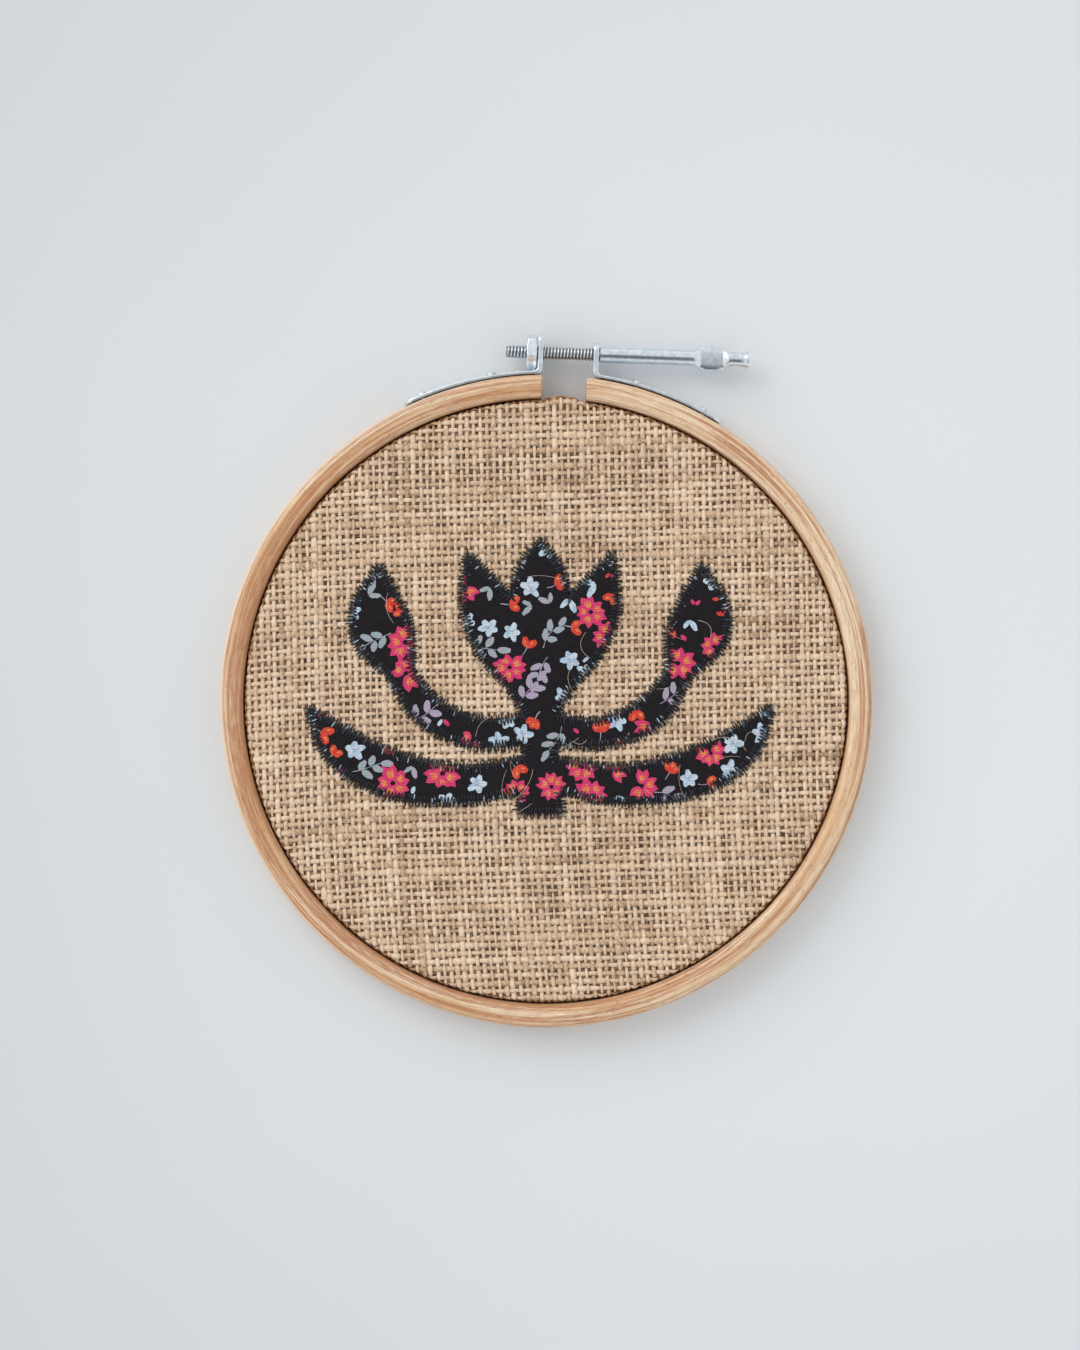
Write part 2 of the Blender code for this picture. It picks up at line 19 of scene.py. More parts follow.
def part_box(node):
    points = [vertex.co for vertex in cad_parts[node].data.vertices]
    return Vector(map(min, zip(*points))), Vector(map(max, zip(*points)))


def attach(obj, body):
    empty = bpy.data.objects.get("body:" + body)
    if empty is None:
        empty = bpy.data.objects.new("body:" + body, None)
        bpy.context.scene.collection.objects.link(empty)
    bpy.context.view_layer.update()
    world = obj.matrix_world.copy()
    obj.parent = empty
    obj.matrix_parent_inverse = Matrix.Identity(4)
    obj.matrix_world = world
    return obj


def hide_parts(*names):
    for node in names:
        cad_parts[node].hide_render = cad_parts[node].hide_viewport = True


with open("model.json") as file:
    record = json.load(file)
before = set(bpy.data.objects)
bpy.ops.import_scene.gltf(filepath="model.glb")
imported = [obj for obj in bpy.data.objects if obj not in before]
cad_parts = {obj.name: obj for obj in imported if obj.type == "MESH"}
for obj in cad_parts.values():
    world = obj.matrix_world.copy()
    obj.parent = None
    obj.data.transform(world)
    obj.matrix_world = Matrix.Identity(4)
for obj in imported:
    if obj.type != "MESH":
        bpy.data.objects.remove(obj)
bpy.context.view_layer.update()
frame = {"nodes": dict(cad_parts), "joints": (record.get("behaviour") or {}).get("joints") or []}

# %% [markdown]
# ## Read the driving sizes from the frame
# A piece fits its neighbours only if both take their sizes from one place. The boxes of the frame's
# nodes give the hoop's middle, the radii and the heights, so nothing here is measured twice. The cloth
# and its flower sit 2.1 degrees round from the screw, as on the real hoop, so they get their own axes.

# %% Sizes read from the frame
MM = 0.001


def box_mm(node):
    low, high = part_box(node)
    return np.array(low) / MM, np.array(high) / MM


cloth_low, cloth_high = box_mm("burlap")
ring_low, ring_high = box_mm("outer_ring")
inner_low, inner_high = box_mm("inner_ring")

HOOP_MIDDLE = (cloth_low[:2] + cloth_high[:2]) / 2
CLOTH_RADIUS = (cloth_high[0] - cloth_low[0]) / 2
CLOTH_TOP = cloth_high[2]
RING_OUTSIDE = (ring_high[0] - ring_low[0]) / 2
RING_FACE = ring_high[2]
RING_CLEARANCE = 0.3
RING_INSIDE = CLOTH_RADIUS + RING_CLEARANCE
INNER_RING_OUTSIDE = (inner_high[0] - inner_low[0]) / 2
INNER_RING_FACE = inner_high[2]
SCREW_MIDDLE = np.array(frame["joints"][0]["pos_m"]) / MM
GAP_WIDTH = 10.6
GAP_SIDES = (SCREW_MIDDLE[0] - GAP_WIDTH / 2, SCREW_MIDDLE[0] + GAP_WIDTH / 2)
DESIGN_TURN = math.radians(2.1)

print("hoop", RING_OUTSIDE * 2, "mm across, cloth", round(CLOTH_RADIUS * 2, 1), "mm across")


def design_to_world(points):
    """Points (across, along, height) on the cloth's own axes, as points of the frame."""
    cosine, sine = math.cos(DESIGN_TURN), math.sin(DESIGN_TURN)
    x = HOOP_MIDDLE[0] + cosine * points[..., 0] - sine * points[..., 1]
    y = HOOP_MIDDLE[1] + sine * points[..., 0] + cosine * points[..., 1]
    return np.stack([x, y, points[..., 2]], axis=-1)


def world_to_design(points):
    """The cloth's own axes again, for points (x, y) of the frame."""
    cosine, sine = math.cos(DESIGN_TURN), math.sin(DESIGN_TURN)
    x, y = points[..., 0] - HOOP_MIDDLE[0], points[..., 1] - HOOP_MIDDLE[1]
    return np.stack([cosine * x + sine * y, cosine * y - sine * x], axis=-1)


# %% [markdown]
# ## Camera
# The picture looks straight at the cloth from about 0.72 m, with the cloth's own upright. A lens is
# worked out from similar triangles: the long side of the sensor is to the lens as the long side of
# the view is to the distance. The picture is 1080 by 1350 pixels, and a pixel covers 0.24 mm.

# %% Make the camera
PICTURE_SIZE = (1080, 1350)
MM_A_PIXEL = 0.24
VIEW_DISTANCE = 720.0
SENSOR = 36.0
HOOP_PIXEL = (546, 701)

view_height = PICTURE_SIZE[1] * MM_A_PIXEL
camera_data = bpy.data.cameras.new("camera")
camera_data.sensor_width = SENSOR
camera_data.lens = SENSOR * VIEW_DISTANCE / view_height
camera_data.clip_start = 10.0 * MM
camera_data.clip_end = 20000.0 * MM
camera = bpy.data.objects.new("camera", camera_data)
bpy.context.scene.collection.objects.link(camera)

off_middle = (
    (PICTURE_SIZE[0] / 2 - HOOP_PIXEL[0]) * MM_A_PIXEL,
    (HOOP_PIXEL[1] - PICTURE_SIZE[1] / 2) * MM_A_PIXEL,
    SCREW_MIDDLE[2] + VIEW_DISTANCE,
)
camera.location = design_to_world(np.array(off_middle)) * MM
camera.rotation_euler = (0.0, 0.0, DESIGN_TURN)
bpy.context.scene.camera = camera
print("lens", round(camera_data.lens, 1), "mm")

# %% [markdown]
# ## Helpers for materials
# A procedural finish is a small graph of nodes. Writing each node with its inputs on one line keeps a
# long graph readable: an input that is another node's socket becomes a link, and any other value is set.

# %% Node helpers
def colour(red, green, blue):
    """A colour as a screen shows it, 0 to 255, as the linear colour that a shader needs."""
    parts = [c / 255 for c in (red, green, blue)]
    return tuple(c / 12.92 if c <= 0.04045 else ((c + 0.055) / 1.055) ** 2.4 for c in parts) + (1.0,)


def grey(value):
    return (value, value, value, 1.0)


def add_node(material, kind, inputs=None, **settings):
    """A node of this kind. inputs are values, or sockets of other nodes to link from."""
    made = material.node_tree.nodes.new(kind)
    for name, value in settings.items():
        setattr(made, name, value)
    for socket, value in (inputs or {}).items():
        if isinstance(value, bpy.types.NodeSocket):
            material.node_tree.links.new(value, made.inputs[socket])
        else:
            made.inputs[socket].default_value = value
    return made


def maths(material, operation, *values):
    inputs = dict(enumerate(values))
    return add_node(material, "ShaderNodeMath", inputs, operation=operation).outputs[0]


def ramp(material, factor, *stops):
    """A colour ramp through (place, colour) stops."""
    made = add_node(material, "ShaderNodeValToRGB", {"Fac": factor})
    elements = made.color_ramp.elements
    elements[0].position, elements[0].color = stops[0]
    elements[1].position, elements[1].color = stops[-1]
    for place, shade in stops[1:-1]:
        elements.new(place).color = shade
    return made.outputs["Color"]


def blend(material, factor, first, second, kind="MIX"):
    inputs = {"Fac": factor, "Color1": first, "Color2": second}
    return add_node(material, "ShaderNodeMixRGB", inputs, blend_type=kind).outputs[0]


def noise(material, vector, scale, detail=2.0, roughness=0.5, distortion=0.0):
    inputs = {
        "Vector": vector,
        "Scale": scale,
        "Detail": detail,
        "Roughness": roughness,
        "Distortion": distortion,
    }
    return add_node(material, "ShaderNodeTexNoise", inputs).outputs["Fac"]


def millimetres(material, stretch=(1.0, 1.0, 1.0)):
    """The place on the piece in millimetres, so that a texture's scale is a count a millimetre."""
    place = add_node(material, "ShaderNodeTexCoord").outputs["Object"]
    scale = tuple(s / MM for s in stretch)
    return add_node(material, "ShaderNodeMapping", {"Vector": place, "Scale": scale}).outputs[0]


def new_finish(name, **values):
    """A material whose plain numbers are set on the shader itself. Returns it and its shader."""
    material = bpy.data.materials.new(name)
    material.use_nodes = True
    shader = material.node_tree.nodes["Principled BSDF"]
    for socket, value in values.items():
        shader.inputs[socket.replace("_", " ")].default_value = value
    print("finish", name)
    return material, shader


def connect(material, source, shader, socket):
    material.node_tree.links.new(source, shader.inputs[socket])


def bump(material, shader, height, depth, strength):
    """Relief of this depth. The strength is how much of it shows."""
    inputs = {"Height": height, "Distance": depth * MM, "Strength": strength}
    relief = add_node(material, "ShaderNodeBump", inputs).outputs[0]
    connect(material, relief, shader, "Normal")


# %% [markdown]
# ## Helpers for meshes
# Most pieces here are lofts: rows of points with quads between them, such as a ring's section carried
# round the hoop, or a yarn's section carried along it. One helper makes the faces of any loft, and a
# second one joins many lofts in one mesh, which is far quicker than thousands of separate objects.

# %% Mesh helpers
def loft_faces(rows, columns, start=0, closed_rows=False):
    """Quads between rows of a loft whose columns go all the way round, and caps on its two ends."""
    faces = []
    for row in range(rows if closed_rows else rows - 1):
        here = start + row * columns
        there = start + (row + 1) % rows * columns
        for column in range(columns):
            after = (column + 1) % columns
            faces.append((here + column, here + after, there + after, there + column))
    if not closed_rows:
        faces.append(tuple(start + c for c in reversed(range(columns))))
        faces.append(tuple(start + (rows - 1) * columns + c for c in range(columns)))
    return faces


def add_piece(name, points, faces, material, body, sharp_angle=None):
    """A smooth mesh from points in millimetres, which rides on a body of the frame."""
    mesh = bpy.data.meshes.new(name)
    mesh.from_pydata((np.asarray(points, float) * MM).tolist(), [], faces)
    mesh.validate()
    mesh.shade_smooth()
    if sharp_angle:
        mesh.set_sharp_from_angle(angle=math.radians(sharp_angle))
    for one in material if isinstance(material, (list, tuple)) else [material]:
        mesh.materials.append(one)
    piece = bpy.data.objects.new(name, mesh)
    bpy.context.scene.collection.objects.link(piece)
    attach(piece, body)
    print(name, sum(len(p.vertices) - 2 for p in mesh.polygons), "triangles")
    return piece


def add_loft(name, sections, material, body, closed_rows=False, sharp_angle=None):
    """A piece through sections, an array of rows by columns by (x, y, z)."""
    rows, columns = sections.shape[:2]
    faces = loft_faces(rows, columns, closed_rows=closed_rows)
    return add_piece(name, sections.reshape(-1, 3), faces, material, body, sharp_angle)


def smooth_step(value):
    share = np.clip(value, 0.0, 1.0)
    return share * share * (3 - 2 * share)


def slow_noise(places, spacing, chance):
    """Noise that changes slowly along a line: random knots this far apart, joined smoothly."""
    at = places / spacing
    first = math.floor(at.min()) - 1
    knots = chance.normal(0.0, 1.0, math.ceil(at.max()) - first + 3)
    cell = np.floor(at).astype(int) - first
    share = smooth_step(at - np.floor(at))
    return knots[cell] * (1 - share) + knots[cell + 1] * share


def unit(vectors):
    return vectors / np.maximum(np.linalg.norm(vectors, axis=-1, keepdims=True), 1e-12)


# %% [markdown]
# ## Floor
# The hoop lies on a plain pale surface: one large matt plane a hair under the wood, with a faint cloudy
# tone. Painted light makes it a little brighter to the right and round the hoop than far from it. That
# could be done with more lights, but they would also change the hoop, so the floor's own colour does it.

# %% Make the floor
FLOOR_SIZE = 6000.0
FLOOR_BELOW_HOOP = 0.02
FLOOR_TONES = ((0.727, 0.750, 0.768, 1.0), (0.744, 0.767, 0.786, 1.0))
HALF_VIEW = 150.0
PAINTED_LIGHT_LEFT_TO_RIGHT = (0.95, 1.07)
NEAR_AND_FAR = (70.0, 210.0)
PAINTED_LIGHT_NEAR_TO_FAR = (1.05, 0.955)


def spread(material, value, low, high, at_low, at_high):
    """A number that goes evenly from at_low to at_high while the value goes from low to high."""
    inputs = {0: value, 1: low, 2: high, 3: at_low, 4: at_high}
    return add_node(material, "ShaderNodeMapRange", inputs).outputs[0]


def pale_surface():
    material, shader = new_finish("pale surface", Roughness=0.9, Specular_IOR_Level=0.2)
    place = millimetres(material)
    cloudy = noise(material, place, 0.006, detail=3.0)
    shade = ramp(material, cloudy, (0.3, FLOOR_TONES[0]), (0.7, FLOOR_TONES[1]))
    # Painted light: the floor's colour is made brighter to the right and darker far from the hoop.
    across = add_node(material, "ShaderNodeSeparateXYZ", {0: place}).outputs[0]
    paler = spread(material, across, -HALF_VIEW, HALF_VIEW, *PAINTED_LIGHT_LEFT_TO_RIGHT)
    away = add_node(material, "ShaderNodeVectorMath", {0: place}, operation="LENGTH").outputs["Value"]
    painted_falloff = spread(material, away, *NEAR_AND_FAR, *PAINTED_LIGHT_NEAR_TO_FAR)
    shade = blend(material, 1.0, shade, paler, kind="MULTIPLY")
    shade = blend(material, 1.0, shade, painted_falloff, kind="MULTIPLY")
    connect(material, shade, shader, "Base Color")
    bump(material, shader, noise(material, place, 1.6, detail=4.0), 0.02, strength=0.4)
    return material


bpy.ops.mesh.primitive_plane_add(size=FLOOR_SIZE * MM)
floor = bpy.context.object
floor.name = "floor"
floor.location.z = -FLOOR_BELOW_HOOP * MM
floor.data.materials.append(pale_surface())

# %% [markdown]
# ## Light
# One broad soft light stands far off to the upper left, low enough to model the yarns and round the
# rings, and the pale sky fills its shadows. Steel shows what stands round it, so the sky isn't even: it
# is brighter low down, as walls with windows are, has a dim patch on the near side, where the viewer
# stands, and is a little dimmer straight overhead. The patch draws the dark band along the shank.

# %% Make the lights
SKY_STRENGTH = 0.94
SKY_LOW = (1.02, 1.045, 1.06, 1.0)
SKY_HIGH = (0.80, 0.82, 0.83, 1.0)
PATCH_SHADE = (0.20, 0.21, 0.23, 1.0)
PATCH_NEAR = 0.38
PATCH_HALF_SIZE = (0.27, 0.52)
OVERHEAD_SHADE = 0.80


def soft_light(name, size, place, watts, tint):
    data = bpy.data.lights.new(name, "AREA")
    data.shape = "RECTANGLE"
    data.size, data.size_y = size
    data.energy = watts
    data.color = tint
    light = bpy.data.objects.new(name, data)
    light.location = place
    light.rotation_euler = (-Vector(place)).to_track_quat("-Z", "Y").to_euler()
    bpy.context.scene.collection.objects.link(light)
    print(name, "light", watts, "W")


def room_sky():
    """A sky that is brighter low down, dim on the near side and a little dim overhead."""
    sky = bpy.data.worlds.new("sky")
    sky.use_nodes = True
    background = sky.node_tree.nodes["Background"]
    toward = add_node(sky, "ShaderNodeTexCoord").outputs["Generated"]
    x, y, z = add_node(sky, "ShaderNodeSeparateXYZ", {0: toward}).outputs
    even = ramp(sky, z, (0.0, SKY_LOW), (1.0, SKY_HIGH))
    across = maths(sky, "DIVIDE", x, PATCH_HALF_SIZE[0])
    along = maths(sky, "DIVIDE", maths(sky, "ADD", y, PATCH_NEAR), PATCH_HALF_SIZE[1])
    patch = maths(sky, "ADD", maths(sky, "POWER", across, 2.0), maths(sky, "POWER", along, 2.0))
    dim = ramp(sky, patch, (0.15, PATCH_SHADE), (1.0, grey(1.0)))
    off_zenith = maths(sky, "ADD", maths(sky, "POWER", x, 2.0), maths(sky, "POWER", y, 2.0))
    over = ramp(sky, off_zenith, (0.02, grey(OVERHEAD_SHADE)), (0.05, grey(1.0)))
    dim = blend(sky, 1.0, dim, over, kind="MULTIPLY")
    connect(sky, blend(sky, 1.0, even, dim, kind="MULTIPLY"), background, "Color")
    background.inputs["Strength"].default_value = SKY_STRENGTH
    return sky


soft_light(
    "window", size=(3.0, 3.0), place=(-2.5, 2.2, 2.25), watts=60.0, tint=(1.0, 0.985, 0.97)
)
bpy.context.scene.world = room_sky()
bpy.context.scene.view_settings.view_transform = "Standard"
bpy.context.scene.view_settings.look = "None"

# %% [markdown]
# ## Beech for the rings
# The rings are thin beech strips steamed and bent, so the grain runs round them: pale cream wood with
# long tan and orange-brown streaks, finer fibres, and the short dark flecks that mark beech. Noise in
# plain x, y, z would cut across the bend, so the texture gets bent places: how far round the hoop, how
# far out, and how high. Noise squeezed along the first of these draws streaks that follow the ring.

# %% Beech finish
WOOD_CREAM = colour(246, 222, 192)
WOOD_PALE = colour(234, 200, 163)
WOOD_TAN = colour(217, 171, 126)
WOOD_BROWN = colour(182, 121, 84)
WOOD_FIBRE = colour(190, 142, 102)
WOOD_FLECK = colour(128, 80, 50)
# The colour of the painted highlight on the outer edge, and how far in from the edge it reaches.
WOOD_PAINTED_HIGHLIGHT = colour(240, 222, 202)
HIGHLIGHT_BAND_WIDTH = 1.0


def round_the_hoop(material):
    """The place on a ring as sockets: the angle, millimetres round, millimetres out, and height."""
    place = millimetres(material)
    split = add_node(material, "ShaderNodeSeparateXYZ", {0: place}).outputs
    x = maths(material, "SUBTRACT", split[0], float(HOOP_MIDDLE[0]))
    y = maths(material, "SUBTRACT", split[1], float(HOOP_MIDDLE[1]))
    angle = maths(material, "ARCTAN2", x, maths(material, "MULTIPLY", y, -1.0))
    length = maths(material, "MULTIPLY", angle, float(RING_OUTSIDE))
    squares = maths(material, "ADD", maths(material, "POWER", x, 2.0), maths(material, "POWER", y, 2.0))
    return angle, length, maths(material, "SQRT", squares), split[2]


def along_grain(material, length, out, height, round_scale, cross_scale, shift=0.0):
    """Places for noise that is drawn out along the ring. A shift takes another part of the noise."""
    parts = {
        0: maths(material, "MULTIPLY_ADD", length, round_scale, shift),
        1: maths(material, "MULTIPLY", out, cross_scale),
        2: maths(material, "MULTIPLY", height, cross_scale),
    }
    return add_node(material, "ShaderNodeCombineXYZ", parts).outputs[0]


def beech(name, streaks):
    """Sanded beech, its grain round the hoop. streaks is how strong the brown streaks are."""
    material, shader = new_finish(name, Specular_IOR_Level=0.42)
    angle, length, out, height = round_the_hoop(material)

    def grain(*scales):
        return along_grain(material, length, out, height, *scales)

    broad = noise(material, grain(0.016, 0.42), 1.0, detail=3.0, distortion=0.4)
    # Painted light and shade: the left of the ring is painted darker and browner, with more brown streaks,
    # and the right paler.
    painted_side_light = maths(material, "MULTIPLY", maths(material, "SINE", angle), -0.06)
    broad = maths(material, "SUBTRACT", broad, painted_side_light)
    tone = ramp(material, broad, (0.36, WOOD_TAN), (0.5, WOOD_PALE), (0.62, WOOD_CREAM))

    narrow = noise(material, grain(0.017, 0.95, 31.0), 1.0, detail=3.5, roughness=0.6, distortion=0.5)
    streak = maths(material, "ADD", narrow, painted_side_light)
    streak = ramp(material, streak, (0.48, grey(0.0)), (0.52, grey(0.7)), (0.58, grey(1.0)))
    broken = noise(material, grain(0.30, 3.0, 17.0), 1.0, detail=2.0)
    broken = ramp(material, broken, (0.34, grey(0.45)), (0.56, grey(1.0)))
    streak = maths(material, "MULTIPLY", maths(material, "MULTIPLY", streak, streaks), broken)
    tone = blend(material, streak, tone, WOOD_BROWN)

    fibres = noise(material, grain(0.26, 4.6, 7.0), 1.0, detail=3.0, roughness=0.65)
    tone = blend(material, ramp(material, fibres, (0.36, grey(0.6)), (0.58, grey(0.0))), tone, WOOD_FIBRE)
    flecks = noise(material, grain(0.55, 3.4, 53.0), 1.0, detail=1.0)
    marks = ramp(material, flecks, (0.68, grey(0.0)), (0.73, grey(0.6)))
    tone = blend(material, marks, tone, WOOD_FLECK)
    # A painted highlight: a pale band along the outer rounded edge on the left, where the light from the
    # upper left grazes it.
    edge = maths(material, "SUBTRACT", out, float(RING_OUTSIDE - HIGHLIGHT_BAND_WIDTH))
    edge = ramp(material, maths(material, "ADD", edge, broad), (0.4, grey(0.0)), (1.3, grey(1.0)))
    painted_highlight_side = ramp(material, painted_side_light, (0.0, grey(0.0)), (0.05, grey(0.75)))
    tone = blend(material, maths(material, "MULTIPLY", edge, painted_highlight_side), tone, WOOD_PAINTED_HIGHLIGHT)
    connect(material, tone, shader, "Base Color")

    shine = maths(material, "MULTIPLY_ADD", fibres, 0.22, 0.36)
    connect(material, shine, shader, "Roughness")
    relief = maths(material, "SUBTRACT", fibres, marks)
    bump(material, shader, relief, 0.05, strength=0.6)
    return material


beech_wood = beech("beech", 0.95)

# %% [markdown]
# ## The two rings
# Each ring is a section carried round the hoop. The outer ring's front edges are well rounded and its
# back ones barely, and it is split: its ends are cut square to the screw, not to the ring, so the angle
# where a row of points ends depends on how far out it is. A rasp and sandpaper leave the wood a little
# uneven, so the section breathes by some hundredths of a millimetre as it goes round.

# %% Build the rings
ROUND_STEPS = 360
CORNER_STEPS = 7
FRONT_ROUNDING = 1.9
BACK_ROUNDING = 0.8
END_ROUNDING = 0.45
INNER_RING_WIDTH = 4.8
INNER_RING_ROUNDING = 0.9
UNEVEN_OUT = 0.05
UNEVEN_HIGH = 0.04


def rounded_section(inside, outside, top, front_rounding, back_rounding):
    """A ring's section as (out, height) points, counter-clockwise from its inner back corner."""
    corners = (
        (inside, 0.0, back_rounding, 180),
        (outside, 0.0, back_rounding, 270),
        (outside, top, front_rounding, 0),
        (inside, top, front_rounding, 90),
    )
    points = []
    for out, height, radius, first in corners:
        middle_out = out + radius if out == inside else out - radius
        middle_height = height + radius if height == 0.0 else height - radius
        for step in range(CORNER_STEPS):
            turn = math.radians(first + 90 * step / (CORNER_STEPS - 1))
            points.append((middle_out + radius * math.cos(turn), middle_height + radius * math.sin(turn)))
    return np.array(points)


def carried_round(section, first_side, last_side, chance):
    """Rows of the section round the hoop, from one flat end to the other."""
    rows = []
    shares = np.linspace(0.0, 1.0, ROUND_STEPS)
    uneven_out = UNEVEN_OUT * slow_noise(shares * ROUND_STEPS, 9.0, chance)
    uneven_high = UNEVEN_HIGH * slow_noise(shares * ROUND_STEPS, 14.0, chance)
    middle = section.mean(axis=0)
    for share, push, lift in zip(shares, uneven_out, uneven_high):
        out = section[:, 0] + push * np.sign(section[:, 0] - middle[0]) * 0.5
        height = np.where(section[:, 1] > middle[1], section[:, 1] + lift - 0.06, section[:, 1])
        first = np.arcsin(first_side / out)
        last = 2 * np.pi + np.arcsin(last_side / out)
        angle = first + share * (last - first)
        x = HOOP_MIDDLE[0] + out * np.sin(angle)
        y = HOOP_MIDDLE[1] + out * np.cos(angle)
        rows.append(np.stack([x, y, height], axis=1))
    return np.array(rows)


section = rounded_section(RING_INSIDE, RING_OUTSIDE, RING_FACE, FRONT_ROUNDING, BACK_ROUNDING)
rows = carried_round(section, GAP_SIDES[1], GAP_SIDES[0], np.random.default_rng(3))
outer_ring = add_loft("outer_ring_wood", rows, beech_wood, "hoop")
ends = outer_ring.modifiers.new("Sanded ends", "BEVEL")
ends.width = END_ROUNDING * MM
ends.segments = 3
ends.limit_method = "ANGLE"
ends.angle_limit = math.radians(60)
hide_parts("outer_ring")

inner_ring_inside = inner_high[0] - INNER_RING_WIDTH
rounding = (INNER_RING_ROUNDING, INNER_RING_ROUNDING)
section = rounded_section(inner_ring_inside, INNER_RING_OUTSIDE, INNER_RING_FACE, *rounding)
angles = np.linspace(0.0, 2 * np.pi, ROUND_STEPS, endpoint=False)
x = HOOP_MIDDLE[0] + np.outer(np.sin(angles), section[:, 0])
y = HOOP_MIDDLE[1] + np.outer(np.cos(angles), section[:, 0])
rows = np.stack([x, y, np.broadcast_to(section[:, 1], x.shape)], axis=2)
inner_ring = add_loft("inner_ring_wood", rows, beech_wood, "hoop", closed_rows=True)
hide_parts("inner_ring")

# %% [markdown]
# ## Jute yarn
# Burlap is woven from single-twist jute: pale, golden brown, never even, with fibres that wind round
# the yarn. Each point of a yarn's mesh carries a place in its own twisted space and a tone of its own,
# as attributes, so one material can draw fibres that wind along every yarn and colour each one apart.

# %% Jute finish
JUTE_PALE = colour(250, 224, 196)
JUTE_MIDDLE = colour(229, 197, 164)
JUTE_DARK = colour(166, 129, 96)
# The colour that the painted shade deep in the weave multiplies by.
JUTE_PAINTED_SHADE = (0.62, 0.44, 0.27, 1.0)
CLOTH_THICKNESS = 1.0
CLOTH_MIDDLE = CLOTH_TOP - CLOTH_THICKNESS / 2


def attribute(material, name):
    return add_node(material, "ShaderNodeAttribute", attribute_name=name)


def jute(name):
    """Jute whose colour follows the wound fibres and the yarn's own tone, with painted shade deep in the
    weave.
    """
    material, shader = new_finish(
        name, Roughness=0.88, Specular_IOR_Level=0.22, Sheen_Weight=0.25, Sheen_Roughness=0.5
    )
    twisted = attribute(material, "twist").outputs["Vector"]
    tone = attribute(material, "tone").outputs["Fac"]
    fibres = noise(material, twisted, 1.0, detail=4.0, roughness=0.62)
    cloudy = noise(material, millimetres(material), 0.16, detail=3.0)
    mixed = maths(material, "MULTIPLY_ADD", fibres, 0.80, maths(material, "MULTIPLY", cloudy, 0.20))
    mixed = maths(material, "ADD", mixed, maths(material, "MULTIPLY_ADD", tone, 0.24, -0.12))
    shade = ramp(material, mixed, (0.30, JUTE_DARK), (0.46, JUTE_MIDDLE), (0.62, JUTE_PALE))
    # Painted shade: below the cloth's middle, faces that turn up are darkened and browned, as shade falls
    # deep in the weave.
    height = add_node(material, "ShaderNodeSeparateXYZ", {0: millimetres(material)}).outputs[2]
    depth = maths(material, "SUBTRACT", float(CLOTH_MIDDLE + 0.05), height)
    depth = add_node(material, "ShaderNodeClamp", {0: maths(material, "MULTIPLY", depth, 3.2)}).outputs[0]
    facing = add_node(material, "ShaderNodeTexCoord").outputs["Normal"]
    facing = add_node(material, "ShaderNodeSeparateXYZ", {0: facing}).outputs[2]
    facing = maths(material, "MULTIPLY_ADD", facing, 2.0, 0.8)
    facing = add_node(material, "ShaderNodeClamp", {0: facing}).outputs[0]
    depth = maths(material, "MULTIPLY", depth, facing)
    shade = blend(material, depth, shade, JUTE_PAINTED_SHADE, kind="MULTIPLY")
    connect(material, shade, shader, "Base Color")
    bump(material, shader, fibres, 0.22, strength=0.9)
    return material


jute_yarn = jute("jute yarn")

# %% [markdown]
# ## Laying flat cloth on the hoop
# The burlap is a flat disc whose edge turns down between the rings. A point of the flat cloth keeps its
# direction from the middle; past the inner ring's edge, the distance that is left goes round a small
# bend and then straight down. In the gap of the outer ring nothing presses the cloth, so it bulges out.

# %% The cloth's place on the hoop
BEND_RADIUS = 1.1
BEND_START = CLOTH_RADIUS - CLOTH_THICKNESS / 2 - BEND_RADIUS
FLAT_CLOTH_RADIUS = 77.8
GAP_BULGE = 1.15
GAP_HALF_ANGLE = math.radians(4.3)
GAP_DIRECTION = math.pi / 2 - math.asin(SCREW_MIDDLE[0] / CLOTH_RADIUS) - DESIGN_TURN


def on_hoop(across, along, lift):
    """Where points of the flat cloth lie, and the direction out of the cloth there."""
    flat_radius = np.hypot(across, along)
    turn = np.arctan2(along, across)
    past = flat_radius - BEND_START
    bend = np.clip(past / BEND_RADIUS, 0.0, np.pi / 2)
    down = np.maximum(past - BEND_RADIUS * np.pi / 2, 0.0)
    bulge = np.clip(1 - ((turn - GAP_DIRECTION) / GAP_HALF_ANGLE) ** 2, 0.0, 1.0)
    bulge = GAP_BULGE * bulge * smooth_step((flat_radius - BEND_START + 2.5) / 4.0)
    radius = np.minimum(flat_radius, BEND_START) + BEND_RADIUS * np.sin(bend) + bulge
    height = CLOTH_MIDDLE - BEND_RADIUS * (1 - np.cos(bend)) - down
    direction = np.stack([np.cos(turn), np.sin(turn)], axis=-1)
    out = np.concatenate([direction * np.sin(bend)[:, None], np.cos(bend)[:, None]], axis=1)
    place = np.concatenate([direction * radius[:, None], height[:, None]], axis=1)
    return place + out * lift[:, None], out


# %% [markdown]
# ## Weaving the burlap
# In plain weave each yarn goes over one crossing yarn and under the next. Counting crossings instead of
# millimetres makes that simple: yarn number a meets yarn number b where both are whole numbers. One rule
# bends that even net to the real cloth, whose yarns lean a little, more near the bottom and the left.

# %% The uneven net of crossings
YARN_PITCH_ACROSS = 1.61
YARN_PITCH_ALONG = 1.81


def net_to_cloth(a, b):
    """The flat place (across, along) of net place (a, b)."""
    across = YARN_PITCH_ACROSS * a
    along = YARN_PITCH_ALONG * b
    below = np.maximum(-along - 10.0, 0.0)
    beyond_left = np.maximum(-across - 30.0, 0.0)
    lean = -0.018 * along + 0.0007 * below**2
    rise = 0.026 * across - 0.00085 * beyond_left**2
    return across + lean, along + rise


# %% [markdown]
# ## Many strands in one mesh
# Yarns, hairs and sewing thread are all thin tubes. Blender's curves could make them, but a mesh can carry
# a twist and a tone at each point, which the finishes read. So one class gathers tubes and makes one
# piece of them all.

# %% Strands
TWIST_LENGTH = 3.4


